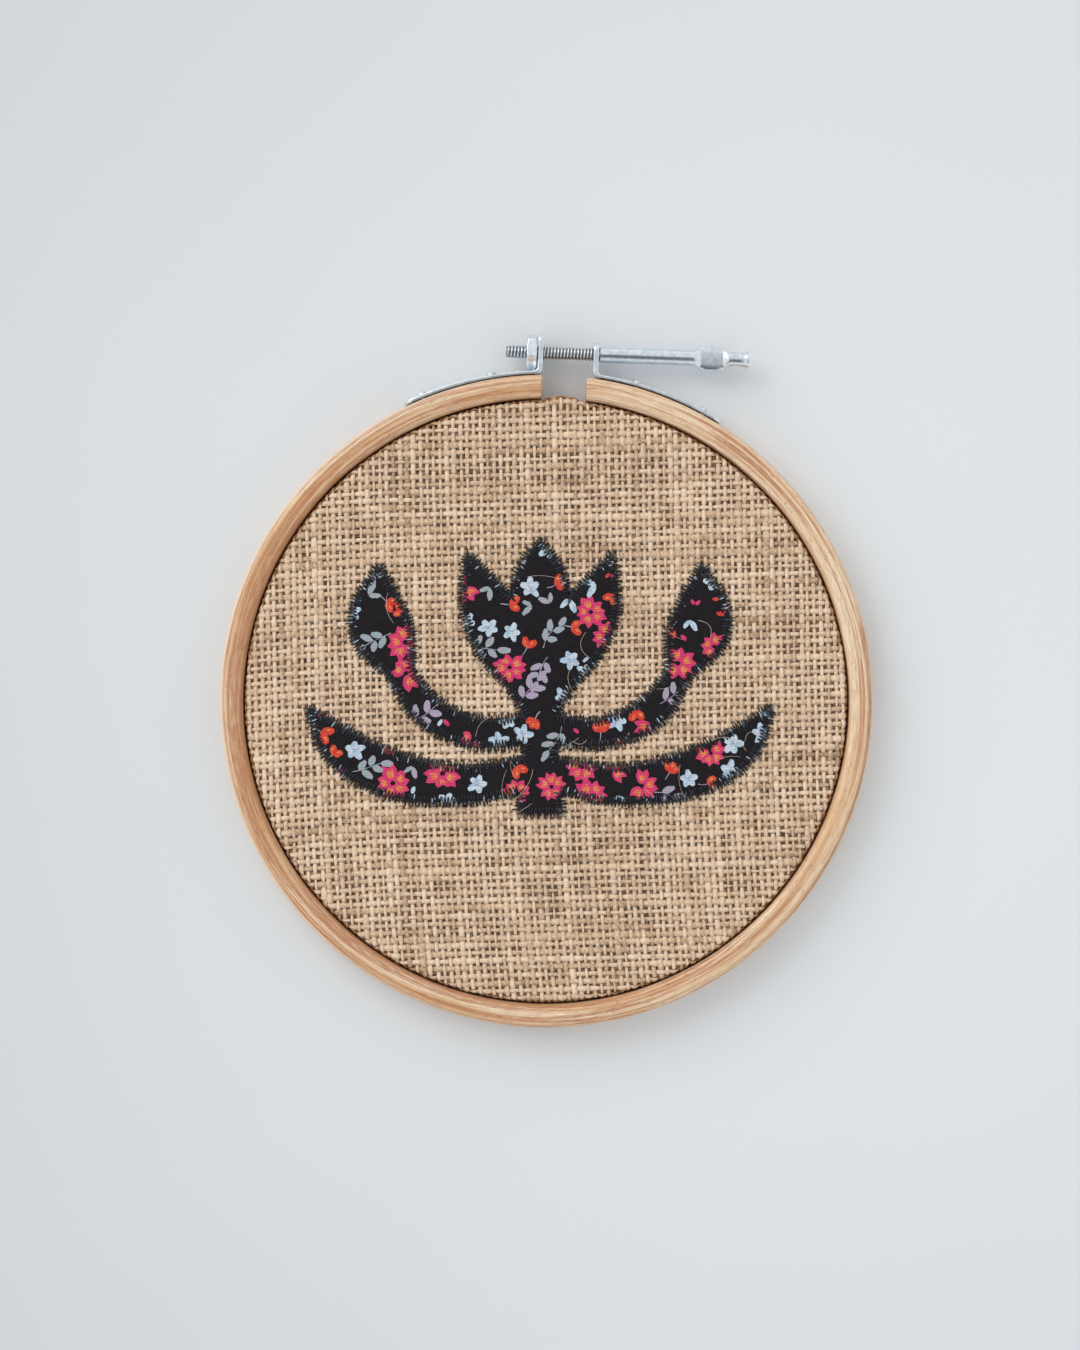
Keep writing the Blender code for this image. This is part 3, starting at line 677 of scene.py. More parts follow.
class Strands:
    """Many thin tubes in one mesh, with the attributes that the yarn finishes read."""

    def __init__(self, sides):
        self.sides = sides
        self.points, self.faces, self.twists, self.tones = [], [], [], []
        self.count = 0

    def add(self, centre, out, half_width, half_height, tone, twist_length=TWIST_LENGTH, start=0.0):
        """One tube: its centre points, the direction away from the cloth, and its two half sizes."""
        travel = np.gradient(centre, axis=0)
        side = unit(np.cross(travel, out))
        up = unit(np.cross(side, travel))
        length = np.concatenate([[0.0], np.cumsum(np.linalg.norm(np.diff(centre, axis=0), axis=1))])
        turn = math.pi / 2 + 2 * np.pi * np.arange(self.sides) / self.sides
        wide = half_width[:, None, None] * np.cos(turn)[None, :, None] * side[:, None, :]
        high = half_height[:, None, None] * np.sin(turn)[None, :, None] * up[:, None, :]
        points = centre[:, None, :] + wide + high
        wound = turn[None, :] + 2 * np.pi * length[:, None] / twist_length
        along = np.broadcast_to((start + length * 0.9)[:, None], wound.shape)
        twist = np.stack([along, 1.7 * np.cos(wound), 1.7 * np.sin(wound)], axis=2)
        self.points.append(points.reshape(-1, 3))
        self.twists.append(twist.reshape(-1, 3))
        self.tones.append(np.repeat(np.broadcast_to(tone, len(centre)), self.sides))
        self.faces += loft_faces(len(centre), self.sides, self.count)
        self.count += len(centre) * self.sides

    def make(self, name, material):
        points = design_to_world(np.concatenate(self.points))
        piece = add_piece(name, points, self.faces, material, "hoop")
        twist = piece.data.attributes.new("twist", "FLOAT_VECTOR", "POINT")
        twist.data.foreach_set("vector", np.concatenate(self.twists).astype(np.float32).ravel())
        tone = piece.data.attributes.new("tone", "FLOAT", "POINT")
        tone.data.foreach_set("value", np.concatenate(self.tones).astype(np.float32))
        return piece


# %% [markdown]
# ## The yarns
# A yarn's height is a cosine that changes sign at each crossing. No two yarns of burlap are alike, so
# each gets its own width, tone and small wander, and about one in three swells in a slub somewhere.
# Where yarns are thin the gaps between them open, as they do in the cloth.

# %% Weave both directions
YARN_WAVE = 0.25
SAMPLES_A_CROSSING = 3
YARN_SIDES = 5
YARN_THICKNESS = 0.47
THINNEST_YARN = 0.55
SLUB_SHARE = 0.35
SLUB_SWELLING = 0.55
SLUB_LENGTH = 3.2


def weave(name, upright, mean_width, chance):
    """All the yarns of one direction. An upright yarn keeps its a, and a level one its b."""
    pitch = YARN_PITCH_ACROSS if upright else YARN_PITCH_ALONG
    other_pitch = YARN_PITCH_ALONG if upright else YARN_PITCH_ACROSS
    paler = 0.10 if upright else -0.08
    reach = int(FLAT_CLOTH_RADIUS / pitch) + 4
    strands = Strands(YARN_SIDES)
    for number in range(-reach, reach + 1):
        span = int(FLAT_CLOTH_RADIUS / other_pitch) + 5
        along = np.arange(-span * SAMPLES_A_CROSSING, span * SAMPLES_A_CROSSING + 1) / SAMPLES_A_CROSSING
        aside = chance.normal(0.0, 0.07) + 0.055 * slow_noise(along, 6.0, chance)
        aside += 0.03 * slow_noise(along, 1.7, chance)
        across = number + aside / pitch
        flat = net_to_cloth(across, along) if upright else net_to_cloth(along, across)
        radius = np.hypot(*flat)
        base = mean_width * chance.lognormal(0.0, 0.13)
        width = base * (1 + 0.17 * slow_noise(along, 1.9, chance) + 0.10 * slow_noise(along, 11.0, chance))
        slub = chance.random() < SLUB_SHARE
        place = chance.uniform(-span, span)
        if slub:
            width += SLUB_SWELLING * np.exp(-(((along - place) / SLUB_LENGTH) ** 2))
        width = np.clip(width, THINNEST_YARN, pitch * 1.06)
        thickness = YARN_THICKNESS * (1 + 0.10 * slow_noise(along, 2.1, chance))
        thickness = thickness + 0.10 * (width - mean_width)
        tone = 0.5 + paler + 0.19 * chance.normal() + 0.17 * slow_noise(along, 4.0, chance)
        tone = np.clip(tone, 0.0, 1.0)
        limit = FLAT_CLOTH_RADIUS + chance.uniform(-0.7, 0.0)
        kept = np.flatnonzero(radius < limit)
        if len(kept) < 3 * SAMPLES_A_CROSSING:
            continue
        kept = slice(kept[0], kept[-1] + 1)
        sign = 1 if upright else -1
        wave = sign * YARN_WAVE * np.cos(np.pi * (along[kept] + number))
        centre, out = on_hoop(flat[0][kept], flat[1][kept], wave)
        start = chance.uniform(0, 500)
        strands.add(centre, out, width[kept] / 2, thickness[kept] / 2, tone[kept], start=start)
    return strands.make(name, jute_yarn)


upright_chance, level_chance = np.random.default_rng(11), np.random.default_rng(12)
upright_yarns = weave("burlap_upright_yarns", upright=True, mean_width=1.02, chance=upright_chance)
level_yarns = weave("burlap_level_yarns", upright=False, mean_width=1.14, chance=level_chance)
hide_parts("burlap")

# %% [markdown]
# ## Loose fibres
# Jute sheds. Short pale hairs stand out of the yarns all over the cloth and soften its edges, and
# without them the weave looks moulded. Others bridge the small gaps between the yarns. These are wide,
# low in tone and lie deep, where the jute finish's painted shade makes them dark brown, so they also
# stand in for the shade in the gaps, which look brown and not black. Each is a thin three-sided tube on
# a gentle arc, and most of them lie near the yarns' own directions.

# %% Grow the fibres
NET_SPAN = 92
HAIR_THICKNESS = 0.045
LOOSE_HAIRS = {
    "in_gaps": False,
    "count": 4200,
    "steps": 6,
    "length": (1.4, 4.6),
    "half_width": (0.022, 0.042),
    "base": 0.36,
    "arch": (0.05, 0.42),
    "spread": 0.55,
    "tone": (0.5, 1.0),
}
# Gap hairs: real fuzz, made wide, low in tone and deep so that they also stand in for the painted shade in
# the gaps.
GAP_HAIRS_AND_SHADE = {
    "in_gaps": True,
    "count": 2 * NET_SPAN**2,
    "steps": 3,
    "length": (1.1, 2.0),
    "half_width": (0.15, 0.33),
    "base": -0.38,
    "arch": (-0.06, 0.3),
    "spread": 0.45,
    "tone": (0.1, 0.8),
}


def curved_hair(middle, direction, length, bow, arch, steps):
    """The points of one hair: a bent line that rises from the surface and comes back to it."""
    share = np.linspace(-0.5, 0.5, steps)
    forward = np.array([math.cos(direction), math.sin(direction)])
    aside = np.array([-forward[1], forward[0]])
    sway = bow * (0.25 - share**2) * 4 + 0.12 * length * share**3
    flat = middle + np.outer(share * length, forward) + np.outer(sway, aside)
    lift = arch * (1 - (2 * share) ** 2)
    return flat, lift


def grow_fibres(name, kind, chance):
    strands = Strands(3)
    for number in range(kind["count"]):
        net_place = chance.uniform(-NET_SPAN / 2, NET_SPAN / 2, 2)
        if kind["in_gaps"]:
            gap = np.array([number // 2 % NET_SPAN, number // 2 // NET_SPAN])
            net_place = gap - NET_SPAN / 2 + 0.5 + chance.normal(0, 0.11, 2)
        middle = np.array(net_to_cloth(*net_place))
        direction = number % 2 * math.pi / 2 + chance.normal(0.0, kind["spread"])
        length, arch = chance.uniform(*kind["length"]), chance.uniform(*kind["arch"])
        bow = chance.normal(0.0, 0.08 * length)
        flat, lift = curved_hair(middle, direction, length, bow, arch, kind["steps"])
        if np.hypot(flat[:, 0], flat[:, 1]).max() > CLOTH_RADIUS - 0.2:
            continue
        centre, out = on_hoop(flat[:, 0], flat[:, 1], kind["base"] + lift)
        wide = np.full(kind["steps"], chance.uniform(*kind["half_width"]))
        high = np.minimum(wide, HAIR_THICKNESS)
        strands.add(centre, out, wide, high, chance.uniform(*kind["tone"]), start=chance.uniform(0, 90))
    return strands.make(name, jute_yarn)


loose_hairs = grow_fibres("burlap_loose_hairs", LOOSE_HAIRS, np.random.default_rng(21))
gap_hairs = grow_fibres("burlap_gap_hairs", GAP_HAIRS_AND_SHADE, np.random.default_rng(22))

# %% [markdown]
# ## The flower's outline
# The frame holds the cut piece as a plain solid with short straight sides. Its top face gives the
# outline, and a smooth curve through those points, broken only at real corners, gives the scissors'
# line that the cotton and its stitching both follow.

# %% Read and smooth the outline
CORNER_ANGLE = 38.0
OUTLINE_STEP = 0.4


def top_outline(node):
    """The points round a flat node's top face, in order, on the cloth's own axes."""
    shape = bmesh.new()
    shape.from_mesh(node.data)
    bmesh.ops.remove_doubles(shape, verts=shape.verts, dist=0.01 * MM)
    top = max(v.co.z for v in shape.verts)
    on_top = {f for f in shape.faces if all(top - v.co.z < 0.01 * MM for v in f.verts)}
    rim = [e for e in shape.edges if sum(f in on_top for f in e.link_faces) == 1]
    rim = [e for e in rim if all(top - v.co.z < 0.01 * MM for v in e.verts)]
    neighbours = {}
    for edge in rim:
        for here, there in (edge.verts, reversed(edge.verts)):
            neighbours.setdefault(here, []).append(there)
    start = min(neighbours, key=lambda v: (round(v.co.y, 6), round(v.co.x, 6)))
    order = [start, min(neighbours[start], key=lambda v: v.co.x)]
    while order[-1] != start:
        order.append(next(v for v in neighbours[order[-1]] if v != order[-2]))
    points = np.array([v.co[:2] for v in order[:-1]]) / MM
    shape.free()
    return world_to_design(points)


def smooth_closed(points, step):
    """A smooth line through the points, about step apart, that keeps their sharp corners."""
    before = points - np.roll(points, 1, axis=0)
    after = np.roll(points, -1, axis=0) - points
    turn = np.degrees(np.arccos(np.clip((unit(before) * unit(after)).sum(1), -1, 1)))
    corner = turn > CORNER_ANGLE
    flowing = unit(unit(before) + unit(after))
    line = []
    for here in range(len(points)):
        there = (here + 1) % len(points)
        chord = points[there] - points[here]
        length = np.linalg.norm(chord)
        leave = chord if corner[here] else flowing[here] * length
        arrive = chord if corner[there] else flowing[there] * length
        count = max(1, round(length / step))
        for share in np.arange(count) / count:
            near = smooth_step(share)
            leaving = leave * (share * (1 - share) ** 2)
            arriving = arrive * (share * share * (share - 1))
            line.append(points[here] * (1 - near) + points[there] * near + leaving + arriving)
    return np.array(line)


def signed_area(line):
    x, y = line[:, 0], line[:, 1]
    return 0.5 * float(np.sum(x * np.roll(y, -1) - np.roll(x, -1) * y))


outline = smooth_closed(top_outline(frame["nodes"]["applique"]), OUTLINE_STEP)
if signed_area(outline) < 0:
    outline = outline[::-1]
outline_steps = np.linalg.norm(np.roll(outline, -1, axis=0) - outline, axis=1)
print("outline", len(outline), "points,", round(outline_steps.sum()), "mm round,")
print("cut area", round(signed_area(outline)), "square mm")


def inside(points, loop):
    """Which points lie inside a closed loop, by counting how often a level ray crosses it."""
    x, y = points[:, 0][:, None], points[:, 1][:, None]
    x1, y1 = loop[:, 0], loop[:, 1]
    x2, y2 = np.roll(x1, -1), np.roll(y1, -1)
    spans = (y1 > y) != (y2 > y)
    crossing = x1 + (y - y1) / np.where(y2 == y1, 1e-9, y2 - y1) * (x2 - x1)
    return (spans & (x < crossing)).sum(axis=1) % 2 == 1


def outline_distance(points, at_once=64):
    """How far each point is from the outline, a few outline points at a time to save memory."""
    best = np.full(len(points), np.inf)
    for first in range(0, len(outline), at_once):
        part = outline[first : first + at_once]
        gaps = np.linalg.norm(points[:, None, :] - part[None, :, :], axis=2)
        best = np.minimum(best, gaps.min(axis=1))
    return best


# %% [markdown]
# ## Cotton print
# The cotton is nearly black, printed with small flowers in hot pink, red-orange, icy blue and lilac.
# The inks sit in the weave, so each colour shows fine threads. One function makes the finish in any
# colour: two crossed sets of threads give the relief, and the level ones also paint shade in lines between
# them.

# %% Cotton finish
COTTON_THREADS_A_MM = 2.6
WAVES_A_UNIT = 3.18
LINT = colour(150, 138, 132)


def cotton(name, base, streak, streak_share, thread_shade):
    """Printed cotton: a base colour, a second colour in soft patches, and fine crossed threads."""
    material, shader = new_finish(
        name, Roughness=0.86, Specular_IOR_Level=0.16, Sheen_Weight=0.05, Sheen_Roughness=0.6
    )
    turn = {"Vector": millimetres(material), "Rotation": (0, 0, -DESIGN_TURN)}
    place = add_node(material, "ShaderNodeMapping", turn).outputs[0]
    scale = COTTON_THREADS_A_MM / WAVES_A_UNIT
    wave = {"Vector": place, "Scale": scale, "Distortion": 1.4, "Detail Scale": 2.0}
    level = add_node(material, "ShaderNodeTexWave", wave, bands_direction="Y").outputs["Fac"]
    upright = add_node(material, "ShaderNodeTexWave", wave, bands_direction="X").outputs["Fac"]
    patches = noise(material, place, 0.9, detail=2.0)
    patches = ramp(material, patches, (0.44, grey(0.0)), (0.62, grey(1.0)))
    tone = blend(material, maths(material, "MULTIPLY", patches, streak_share), base, streak)
    # Painted shade: the level threads darken the colour in fine lines between them.
    shadow = maths(material, "MULTIPLY_ADD", level, thread_shade, 1.0 - thread_shade)
    tone = blend(material, 1.0, tone, shadow, kind="MULTIPLY")
    lint = noise(material, place, 5.0, detail=2.0)
    lint = ramp(material, lint, (0.62, grey(0.0)), (0.78, grey(0.16)))
    tone = blend(material, lint, tone, LINT)
    connect(material, tone, shader, "Base Color")
    relief = maths(material, "ADD", level, upright)
    bump(material, shader, relief, 0.05, strength=0.8)
    return material


PRINT_INKS = {
    # its colour, the colour of its soft patches, how strong they are and how dark the painted thread shade
    # is
    "ground": ((27, 23, 28), (35, 29, 34), 0.7, 0.40),
    "pink": ((238, 62, 128), (242, 88, 116), 0.8, 0.42),
    "orange": ((244, 132, 82), (248, 172, 100), 0.8, 0.36),
    "red": ((234, 68, 58), (244, 104, 74), 0.8, 0.38),
    "ice": ((220, 234, 244), (164, 198, 228), 0.8, 0.34),
    "lilac": ((196, 174, 202), (176, 184, 192), 0.9, 0.38),
    "sage": ((168, 188, 190), (194, 180, 200), 0.9, 0.38),
}
INK_NAMES = list(PRINT_INKS)
print_finishes = []
for ink, (base, streak, share, contrast) in PRINT_INKS.items():
    finish = cotton(f"printed cotton {ink}", colour(*base), colour(*streak), share, contrast)
    print_finishes.append(finish)

# %% [markdown]
# ## Small flowers for the print
# Each motif is a few flat shapes of one ink, drawn by a formula round its middle and then roughened a
# little, as a brush does: a blossom of notched petals with a warm streak in each, a star of pointed
# petals, a loose sprig of leaves beside a stem, and a bud of two or three broad petals. A seeded scatter
# then drops them on the cloth turned every way, so that no two places match.

# %% Motif shapes
def petal(length, width, start=0.0, notch=0.0, blunt=0.0, steps=7):
    """A petal along +x. blunt is how wide its tip stays, and notch how deep the tip is cut in."""
    share = np.linspace(0.0, 1.0, steps)
    half = width / 2 * np.sin(np.pi * share**0.8 * (1 - 0.22 * blunt)) ** 0.85
    upper = np.stack([start + length * share, half + 0.02], axis=1)
    tip = [(start + length * (1 - notch), 0.0)] if notch else []
    lower = (upper * [1, -1])[::-1]
    return np.concatenate([upper, np.reshape(tip, (-1, 2)), lower])


def turned_by(shape, angle):
    cosine, sine = math.cos(angle), math.sin(angle)
    return shape @ np.array([[cosine, sine], [-sine, cosine]])


def disc(radius, steps):
    turn = np.linspace(0, 2 * np.pi, steps, endpoint=False)
    return radius * np.stack([np.cos(turn), np.sin(turn)], axis=1)


def bent_line(points, width):
    """A thin strip along a few points."""
    points = np.array(points, float)
    side = unit(np.gradient(points, axis=0)) @ np.array([[0, 1], [-1, 0]])
    return np.concatenate([points + side * width / 2, points[::-1] - side[::-1] * width / 2])


# %% Flowers
def blossom(chance, size):
    """Notched petals, each with a warm streak, round a dark middle. Some flowers have lost one."""
    shapes = []
    count = chance.choice([3, 4, 5, 5])
    for step in range(count):
        way = step * 2 * math.pi / 5 + chance.normal(0, 0.13)
        length = size * chance.uniform(0.76, 1.10)
        broad = petal(length, size * chance.uniform(0.78, 0.95), size * 0.07, notch=0.22, blunt=1.0, steps=9)
        shapes.append(("pink", turned_by(broad, way)))
        for side in (-0.22, 0.05, 0.27):
            streak = petal(length * 0.5, size * 0.13, size * 0.30, steps=4)
            shapes.append(("orange", turned_by(streak, way + side)))
    shapes.append(("ground", disc(size * 0.15, 9)))
    return shapes


def star(chance, size):
    shapes = []
    for step in range(5):
        way = step * 2 * math.pi / 5 + chance.normal(0, 0.1)
        pointed = petal(size * chance.uniform(0.8, 1.1), size * 0.66, size * 0.04, blunt=0.5, steps=6)
        shapes.append(("ice", turned_by(pointed, way)))
    for step in range(3):
        shapes.append(("lilac", turned_by(petal(size * 0.4, size * 0.12, 0.05, steps=3), step * 2.1)))
    return shapes


# %% Leaves, buds and petals
def sprig(chance, size):
    """Loose leaves on both sides of a thin curved stem."""
    ink = chance.choice(["lilac", "sage"])
    curve = chance.normal(0.0, 0.12)
    stem = [(along, curve * along**2 / size) for along in np.linspace(-size * 1.1, size * 0.9, 6)]
    shapes = [(ink, bent_line(stem, 0.17))]
    for place, side in ((-0.7, 1), (-0.5, -1), (0.1, 1), (0.25, -1), (0.85, 0)):
        leaf = petal(size * chance.uniform(0.75, 1.0), size * 0.46, 0.25, blunt=0.5, steps=7)
        leaf = turned_by(leaf, side * 0.8 + chance.normal(0, 0.14))
        shapes.append((ink, leaf + np.array([place * size, curve * place**2 * size])))
    return shapes


def bud(chance, size):
    """Two or three broad petals in a fan over a short stem."""
    ways = (-0.66, 0.0, 0.66) if chance.random() < 0.5 else (-0.5, 0.62)
    shapes = [("lilac", bent_line([(-size * 0.7, 0.2), (-size * 0.3, 0.0), (0.1, 0.0)], 0.18))]
    for way in ways:
        length = size * chance.uniform(0.8, 1.05)
        shapes.append(("red", turned_by(petal(length, size * 0.6, 0.1, blunt=0.6, steps=8), way)))
        streak = petal(length * 0.42, size * 0.16, length * 0.42, steps=4)
        shapes.append(("orange", turned_by(streak, way + 0.12)))
    return shapes


def pair_of_leaves(chance, size):
    ink = chance.choice(["lilac", "sage", "ice"])
    leaf = petal(size, size * 0.44, 0.2, blunt=0.5)
    return [(ink, turned_by(leaf, 0.55)), (ink, turned_by(leaf * 0.8, -0.6))]


def fallen_petals(chance, size):
    """One or two small petals on their own, which fill the room between the flowers."""
    shapes = []
    for step in range(chance.choice([1, 2])):
        fallen = petal(size * chance.uniform(0.8, 1.1), size * 0.5, 0.2, blunt=0.6)
        shapes.append((chance.choice(["pink", "red", "ice"]), turned_by(fallen, step * 1.4)))
    return shapes


# %% [markdown]
# ## Scattering the motifs
# Throwing darts is a simple way to fill a cloth evenly without rows: a random place is kept if it lies on
# the flower and is clear of the motifs there already. After many misses in a row a kind is skipped, so
# that a smaller one can still find room.

# %% Scatter the motifs
MOTIFS = (
    # how it is drawn, its size and the room it keeps round it
    (blossom, 3.7, 3.5),
    (star, 2.3, 2.2),
    (sprig, 3.4, 2.8),
    (bud, 3.0, 2.3),
    (pair_of_leaves, 3.3, 2.0),
    (fallen_petals, 1.7, 1.5),
)
MOTIF_ORDER = (0, 1, 2, 0, 3, 1, 0, 4, 2, 0, 3, 1, 5)
BRUSH_ROUGHNESS = 0.045
MISSES_TO_SKIP_A_KIND = 30
MISSES_TO_STOP = 420


def scatter_motifs(chance):
    """Places motifs at random until the cloth is full, each clear of the last ones."""
    low, high = outline.min(axis=0), outline.max(axis=0)
    placed = []
    shapes = []
    misses = 0
    turn = 0
    while misses < MISSES_TO_STOP:
        make, size, room = MOTIFS[MOTIF_ORDER[turn % len(MOTIF_ORDER)]]
        middle = chance.uniform(low, high)
        gaps = [np.hypot(*(middle - other)) - reach for other, reach in placed]
        crowded = bool(gaps) and min(gaps) < room
        if crowded or not inside(middle[None, :], outline)[0]:
            misses += 1
            if misses % MISSES_TO_SKIP_A_KIND == 0:
                turn += 1
            continue
        misses = 0
        turn += 1
        placed.append((middle, room))
        size = size * chance.uniform(0.88, 1.1)
        angle = chance.uniform(0, 2 * math.pi)
        for ink, shape in make(chance, size):
            shape = shape + chance.normal(0.0, BRUSH_ROUGHNESS, shape.shape)
            shapes.append((ink, turned_by(shape, angle) + middle))
    print("motifs", len(placed), "shapes", len(shapes))
    return shapes


motif_shapes = scatter_motifs(np.random.default_rng(37))

# %% [markdown]
# ## The cotton piece
# Print and cloth are one surface. A constrained triangulation takes the outline and every petal's edge
# and gives triangles that never cross them, so each triangle has one ink and the print lies in the
# cloth with a clean edge. A grid of extra points lets the cloth rise and fall: it is pulled down along
# the stitching, puffs a little between, and shows the burlap's ribs through it.

# %% Cut the cotton
COTTON_THICKNESS = 0.34
COTTON_LIFT = 0.10
COTTON_PUFF = 0.20
PULLED_EDGE = 3.2
FOLD_HEIGHT = 0.07
RIB_HEIGHT = 0.028
INNER_POINT_STEP = 0.8


def cotton_height(points):
    """The height of the cotton's face over points of the cloth."""
    edge = smooth_step(outline_distance(points) / PULLED_EDGE)
    across, along = points[:, 0], points[:, 1]
    folds = FOLD_HEIGHT * np.sin(across * 0.41 + 1.3 * np.sin(along * 0.23))
    folds = folds * np.cos(along * 0.35 + 0.6)
    ribs = RIB_HEIGHT * np.cos(2 * np.pi * across / YARN_PITCH_ACROSS)
    ribs = ribs * np.cos(2 * np.pi * along / YARN_PITCH_ALONG)
    return CLOTH_TOP + COTTON_LIFT + COTTON_THICKNESS + edge * (COTTON_PUFF + folds) + ribs


def inner_points():
    low, high = outline.min(axis=0), outline.max(axis=0)
    x, y = np.meshgrid(*(np.arange(a, b, INNER_POINT_STEP) for a, b in zip(low, high)))
    x[1::2] += INNER_POINT_STEP / 2
    points = np.stack([x.ravel(), y.ravel()], axis=1)
    points = points[inside(points, outline)]
    return points[outline_distance(points) > INNER_POINT_STEP / 2]


def cut_cotton():
    """Points and triangles inside the outline. No triangle crosses the edge of a motif's shape."""
    loops = [outline] + [shape for _, shape in motif_shapes]
    points = np.concatenate(loops + [inner_points()])
    edges = []
    first = len(outline)
    for loop in loops[1:]:
        edges += [(first + k, first + (k + 1) % len(loop)) for k in range(len(loop))]
        first += len(loop)
    face = list(range(len(outline)))
    flat = [Vector(p) for p in points]
    flat, _, triangles, _, _, origins = delaunay_2d_cdt(flat, edges, [face], 1, 1e-4, True)
    kept = [tuple(triangle) for triangle, faces in zip(triangles, origins) if faces]
    used, triangles = np.unique(np.array(kept), return_inverse=True)
    return np.array([tuple(p) for p in flat])[used], triangles.reshape(-1, 3)


def inks_at(places):
    """The number of the ink printed at each place: the last shape drawn over it wins."""
    inks = np.zeros(len(places), int)
    for ink, shape in motif_shapes:
        near = (places >= shape.min(axis=0)) & (places <= shape.max(axis=0))
        near = np.flatnonzero(near.all(axis=1))
        inks[near[inside(places[near], shape)]] = INK_NAMES.index(ink)
    return inks


flat_points, triangles = cut_cotton()
surface = design_to_world(np.column_stack([flat_points, cotton_height(flat_points)]))
flower = add_piece("flower_cotton", surface, triangles.tolist(), print_finishes, "hoop")
inks = inks_at(flat_points[triangles].mean(axis=1))
flower.data.polygons.foreach_set("material_index", inks.tolist())
thick = flower.modifiers.new("Cloth thickness", "SOLIDIFY")
thick.thickness = COTTON_THICKNESS * MM
thick.offset = -1.0
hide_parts("applique")

# %% [markdown]
# ## Zigzag stitching
# A machine zigzag holds the raw edge. The needle swings between a line on the cotton and a line on the
# burlap, a little under a millimetre on at each pair of swings, so the navy thread makes a dense band
# with a toothed edge. The thread is one long tube in short lengths: it dives where the needle went in
# and bows up in between. The bobbin's thread locks it behind the burlap. The holes use an outline
# direction that is averaged over about two millimetres, so the teeth fan out at a corner and don't cross.

# %% Thread finish
def thread_finish():
    material, shader = new_finish(
        "navy thread", Roughness=0.40, Specular_IOR_Level=0.45, Sheen_Weight=0.06, Sheen_Roughness=0.35
    )
    twisted = attribute(material, "twist").outputs["Vector"]
    tone = attribute(material, "tone").outputs["Fac"]
    strands = noise(material, twisted, 2.8, detail=2.0)
    mixed = maths(material, "MULTIPLY_ADD", strands, 0.6, maths(material, "MULTIPLY", tone, 0.4))
    stops = ((0.30, colour(6, 7, 11)), (0.56, colour(13, 17, 29)), (0.72, colour(33, 48, 72)))
    # The pale last colour is a painted highlight, reached only where a glint raises the tone.
    shade = ramp(material, mixed, *stops, (0.84, colour(186, 206, 222)))
    connect(material, shade, shader, "Base Color")
    bump(material, shader, strands, 0.05, strength=0.7)
    return material


# %% Find the needle's holes
STITCH_PERIOD = 0.80
STITCH_INSIDE = 1.65
STITCH_OUTSIDE = 1.20
HOLE_WANDER = 0.11
REACH_WANDER = 0.19
DIRECTION_REACH = 0.9


def outline_frame(places):
    """Points at these lengths round the outline, and the outward direction there."""
    total = outline_steps.sum()
    at = np.concatenate([[0.0], np.cumsum(outline_steps)])
    ring = np.concatenate([outline, outline[:1]])
    where = np.mod(places, total)
    points = np.stack([np.interp(where, at, ring[:, k]) for k in range(2)], axis=1)
    ahead, behind = np.mod(where + DIRECTION_REACH, total), np.mod(where - DIRECTION_REACH, total)
    chord = [np.interp(ahead, at, ring[:, k]) - np.interp(behind, at, ring[:, k]) for k in range(2)]
    along = unit(np.stack(chord, axis=1))
    return points, np.stack([along[:, 1], -along[:, 0]], axis=1)


def needle_holes(chance):
    """Where the needle goes in, in order, and how far outside the outline each hole is."""
    count = 2 * round(outline_steps.sum() / STITCH_PERIOD)
    places = np.arange(count + 1) * outline_steps.sum() / count
    places[:-1] += chance.normal(0.0, HOLE_WANDER, count)
    points, outward = outline_frame(places)
    outer = np.arange(count + 1) % 2 == 1
    reach = np.where(outer, STITCH_OUTSIDE, -STITCH_INSIDE)
    reach = reach + chance.normal(0.0, REACH_WANDER, count + 1)
    points[-1], outward[-1], reach[-1] = points[0], outward[0], reach[0]
    print("stitches", count)
    return points + outward * reach[:, None], reach


# %% Stitch the edge
THREAD_HALF = 0.135
THREAD_DIVE = 0.22
STITCH_STEPS = 7
BACK_STEPS = 4
FACE_OVER_COTTON = 0.05
# A painted highlight: how bright the painted glints are, how many stitches get one, and how long they are.
PAINTED_GLINT = 1.1
GLINT_SHARE = 0.20
GLINT_LENGTH = 0.16


def stitch_face(name, holes, reach, chance):
    """The thread that shows: over the cotton on one side, over the burlap on the other."""
    share = np.linspace(0.0, 1.0, STITCH_STEPS)
    strands = Strands(5)
    for swing in range(len(holes) - 1):
        flat = holes[swing] * (1 - share[:, None]) + holes[swing + 1] * share[:, None]
        offset = reach[swing] * (1 - share) + reach[swing + 1] * share
        cotton_top = CLOTH_TOP + COTTON_LIFT + COTTON_THICKNESS + FACE_OVER_COTTON
        rest = cotton_top + (CLOTH_TOP - 0.02 - cotton_top) * smooth_step((offset + 0.35) / 0.9)
        bow = np.sin(np.pi * share) ** 0.6
        height = rest - THREAD_DIVE + bow * (THREAD_DIVE + THREAD_HALF * 0.8 + 0.02 * (swing % 2))
        centre = np.column_stack([flat, height])
        out = np.broadcast_to([0.0, 0.0, 1.0], centre.shape)
        half = np.full(STITCH_STEPS, THREAD_HALF * chance.uniform(0.9, 1.12))
        tone = np.full(STITCH_STEPS, chance.random() ** 2.2)
        # Painted glints: on about one stitch in five, a short spot of the thread is pushed to the pale end
        # of its colour.
        if chance.random() < GLINT_SHARE:
            tone += PAINTED_GLINT * np.exp(-(((share - chance.uniform(0.1, 0.9)) / GLINT_LENGTH) ** 2))
        strands.add(centre, out, half, half * 0.9, tone, twist_length=1.1, start=chance.uniform(0, 90))
    return strands.make(name, navy_thread)


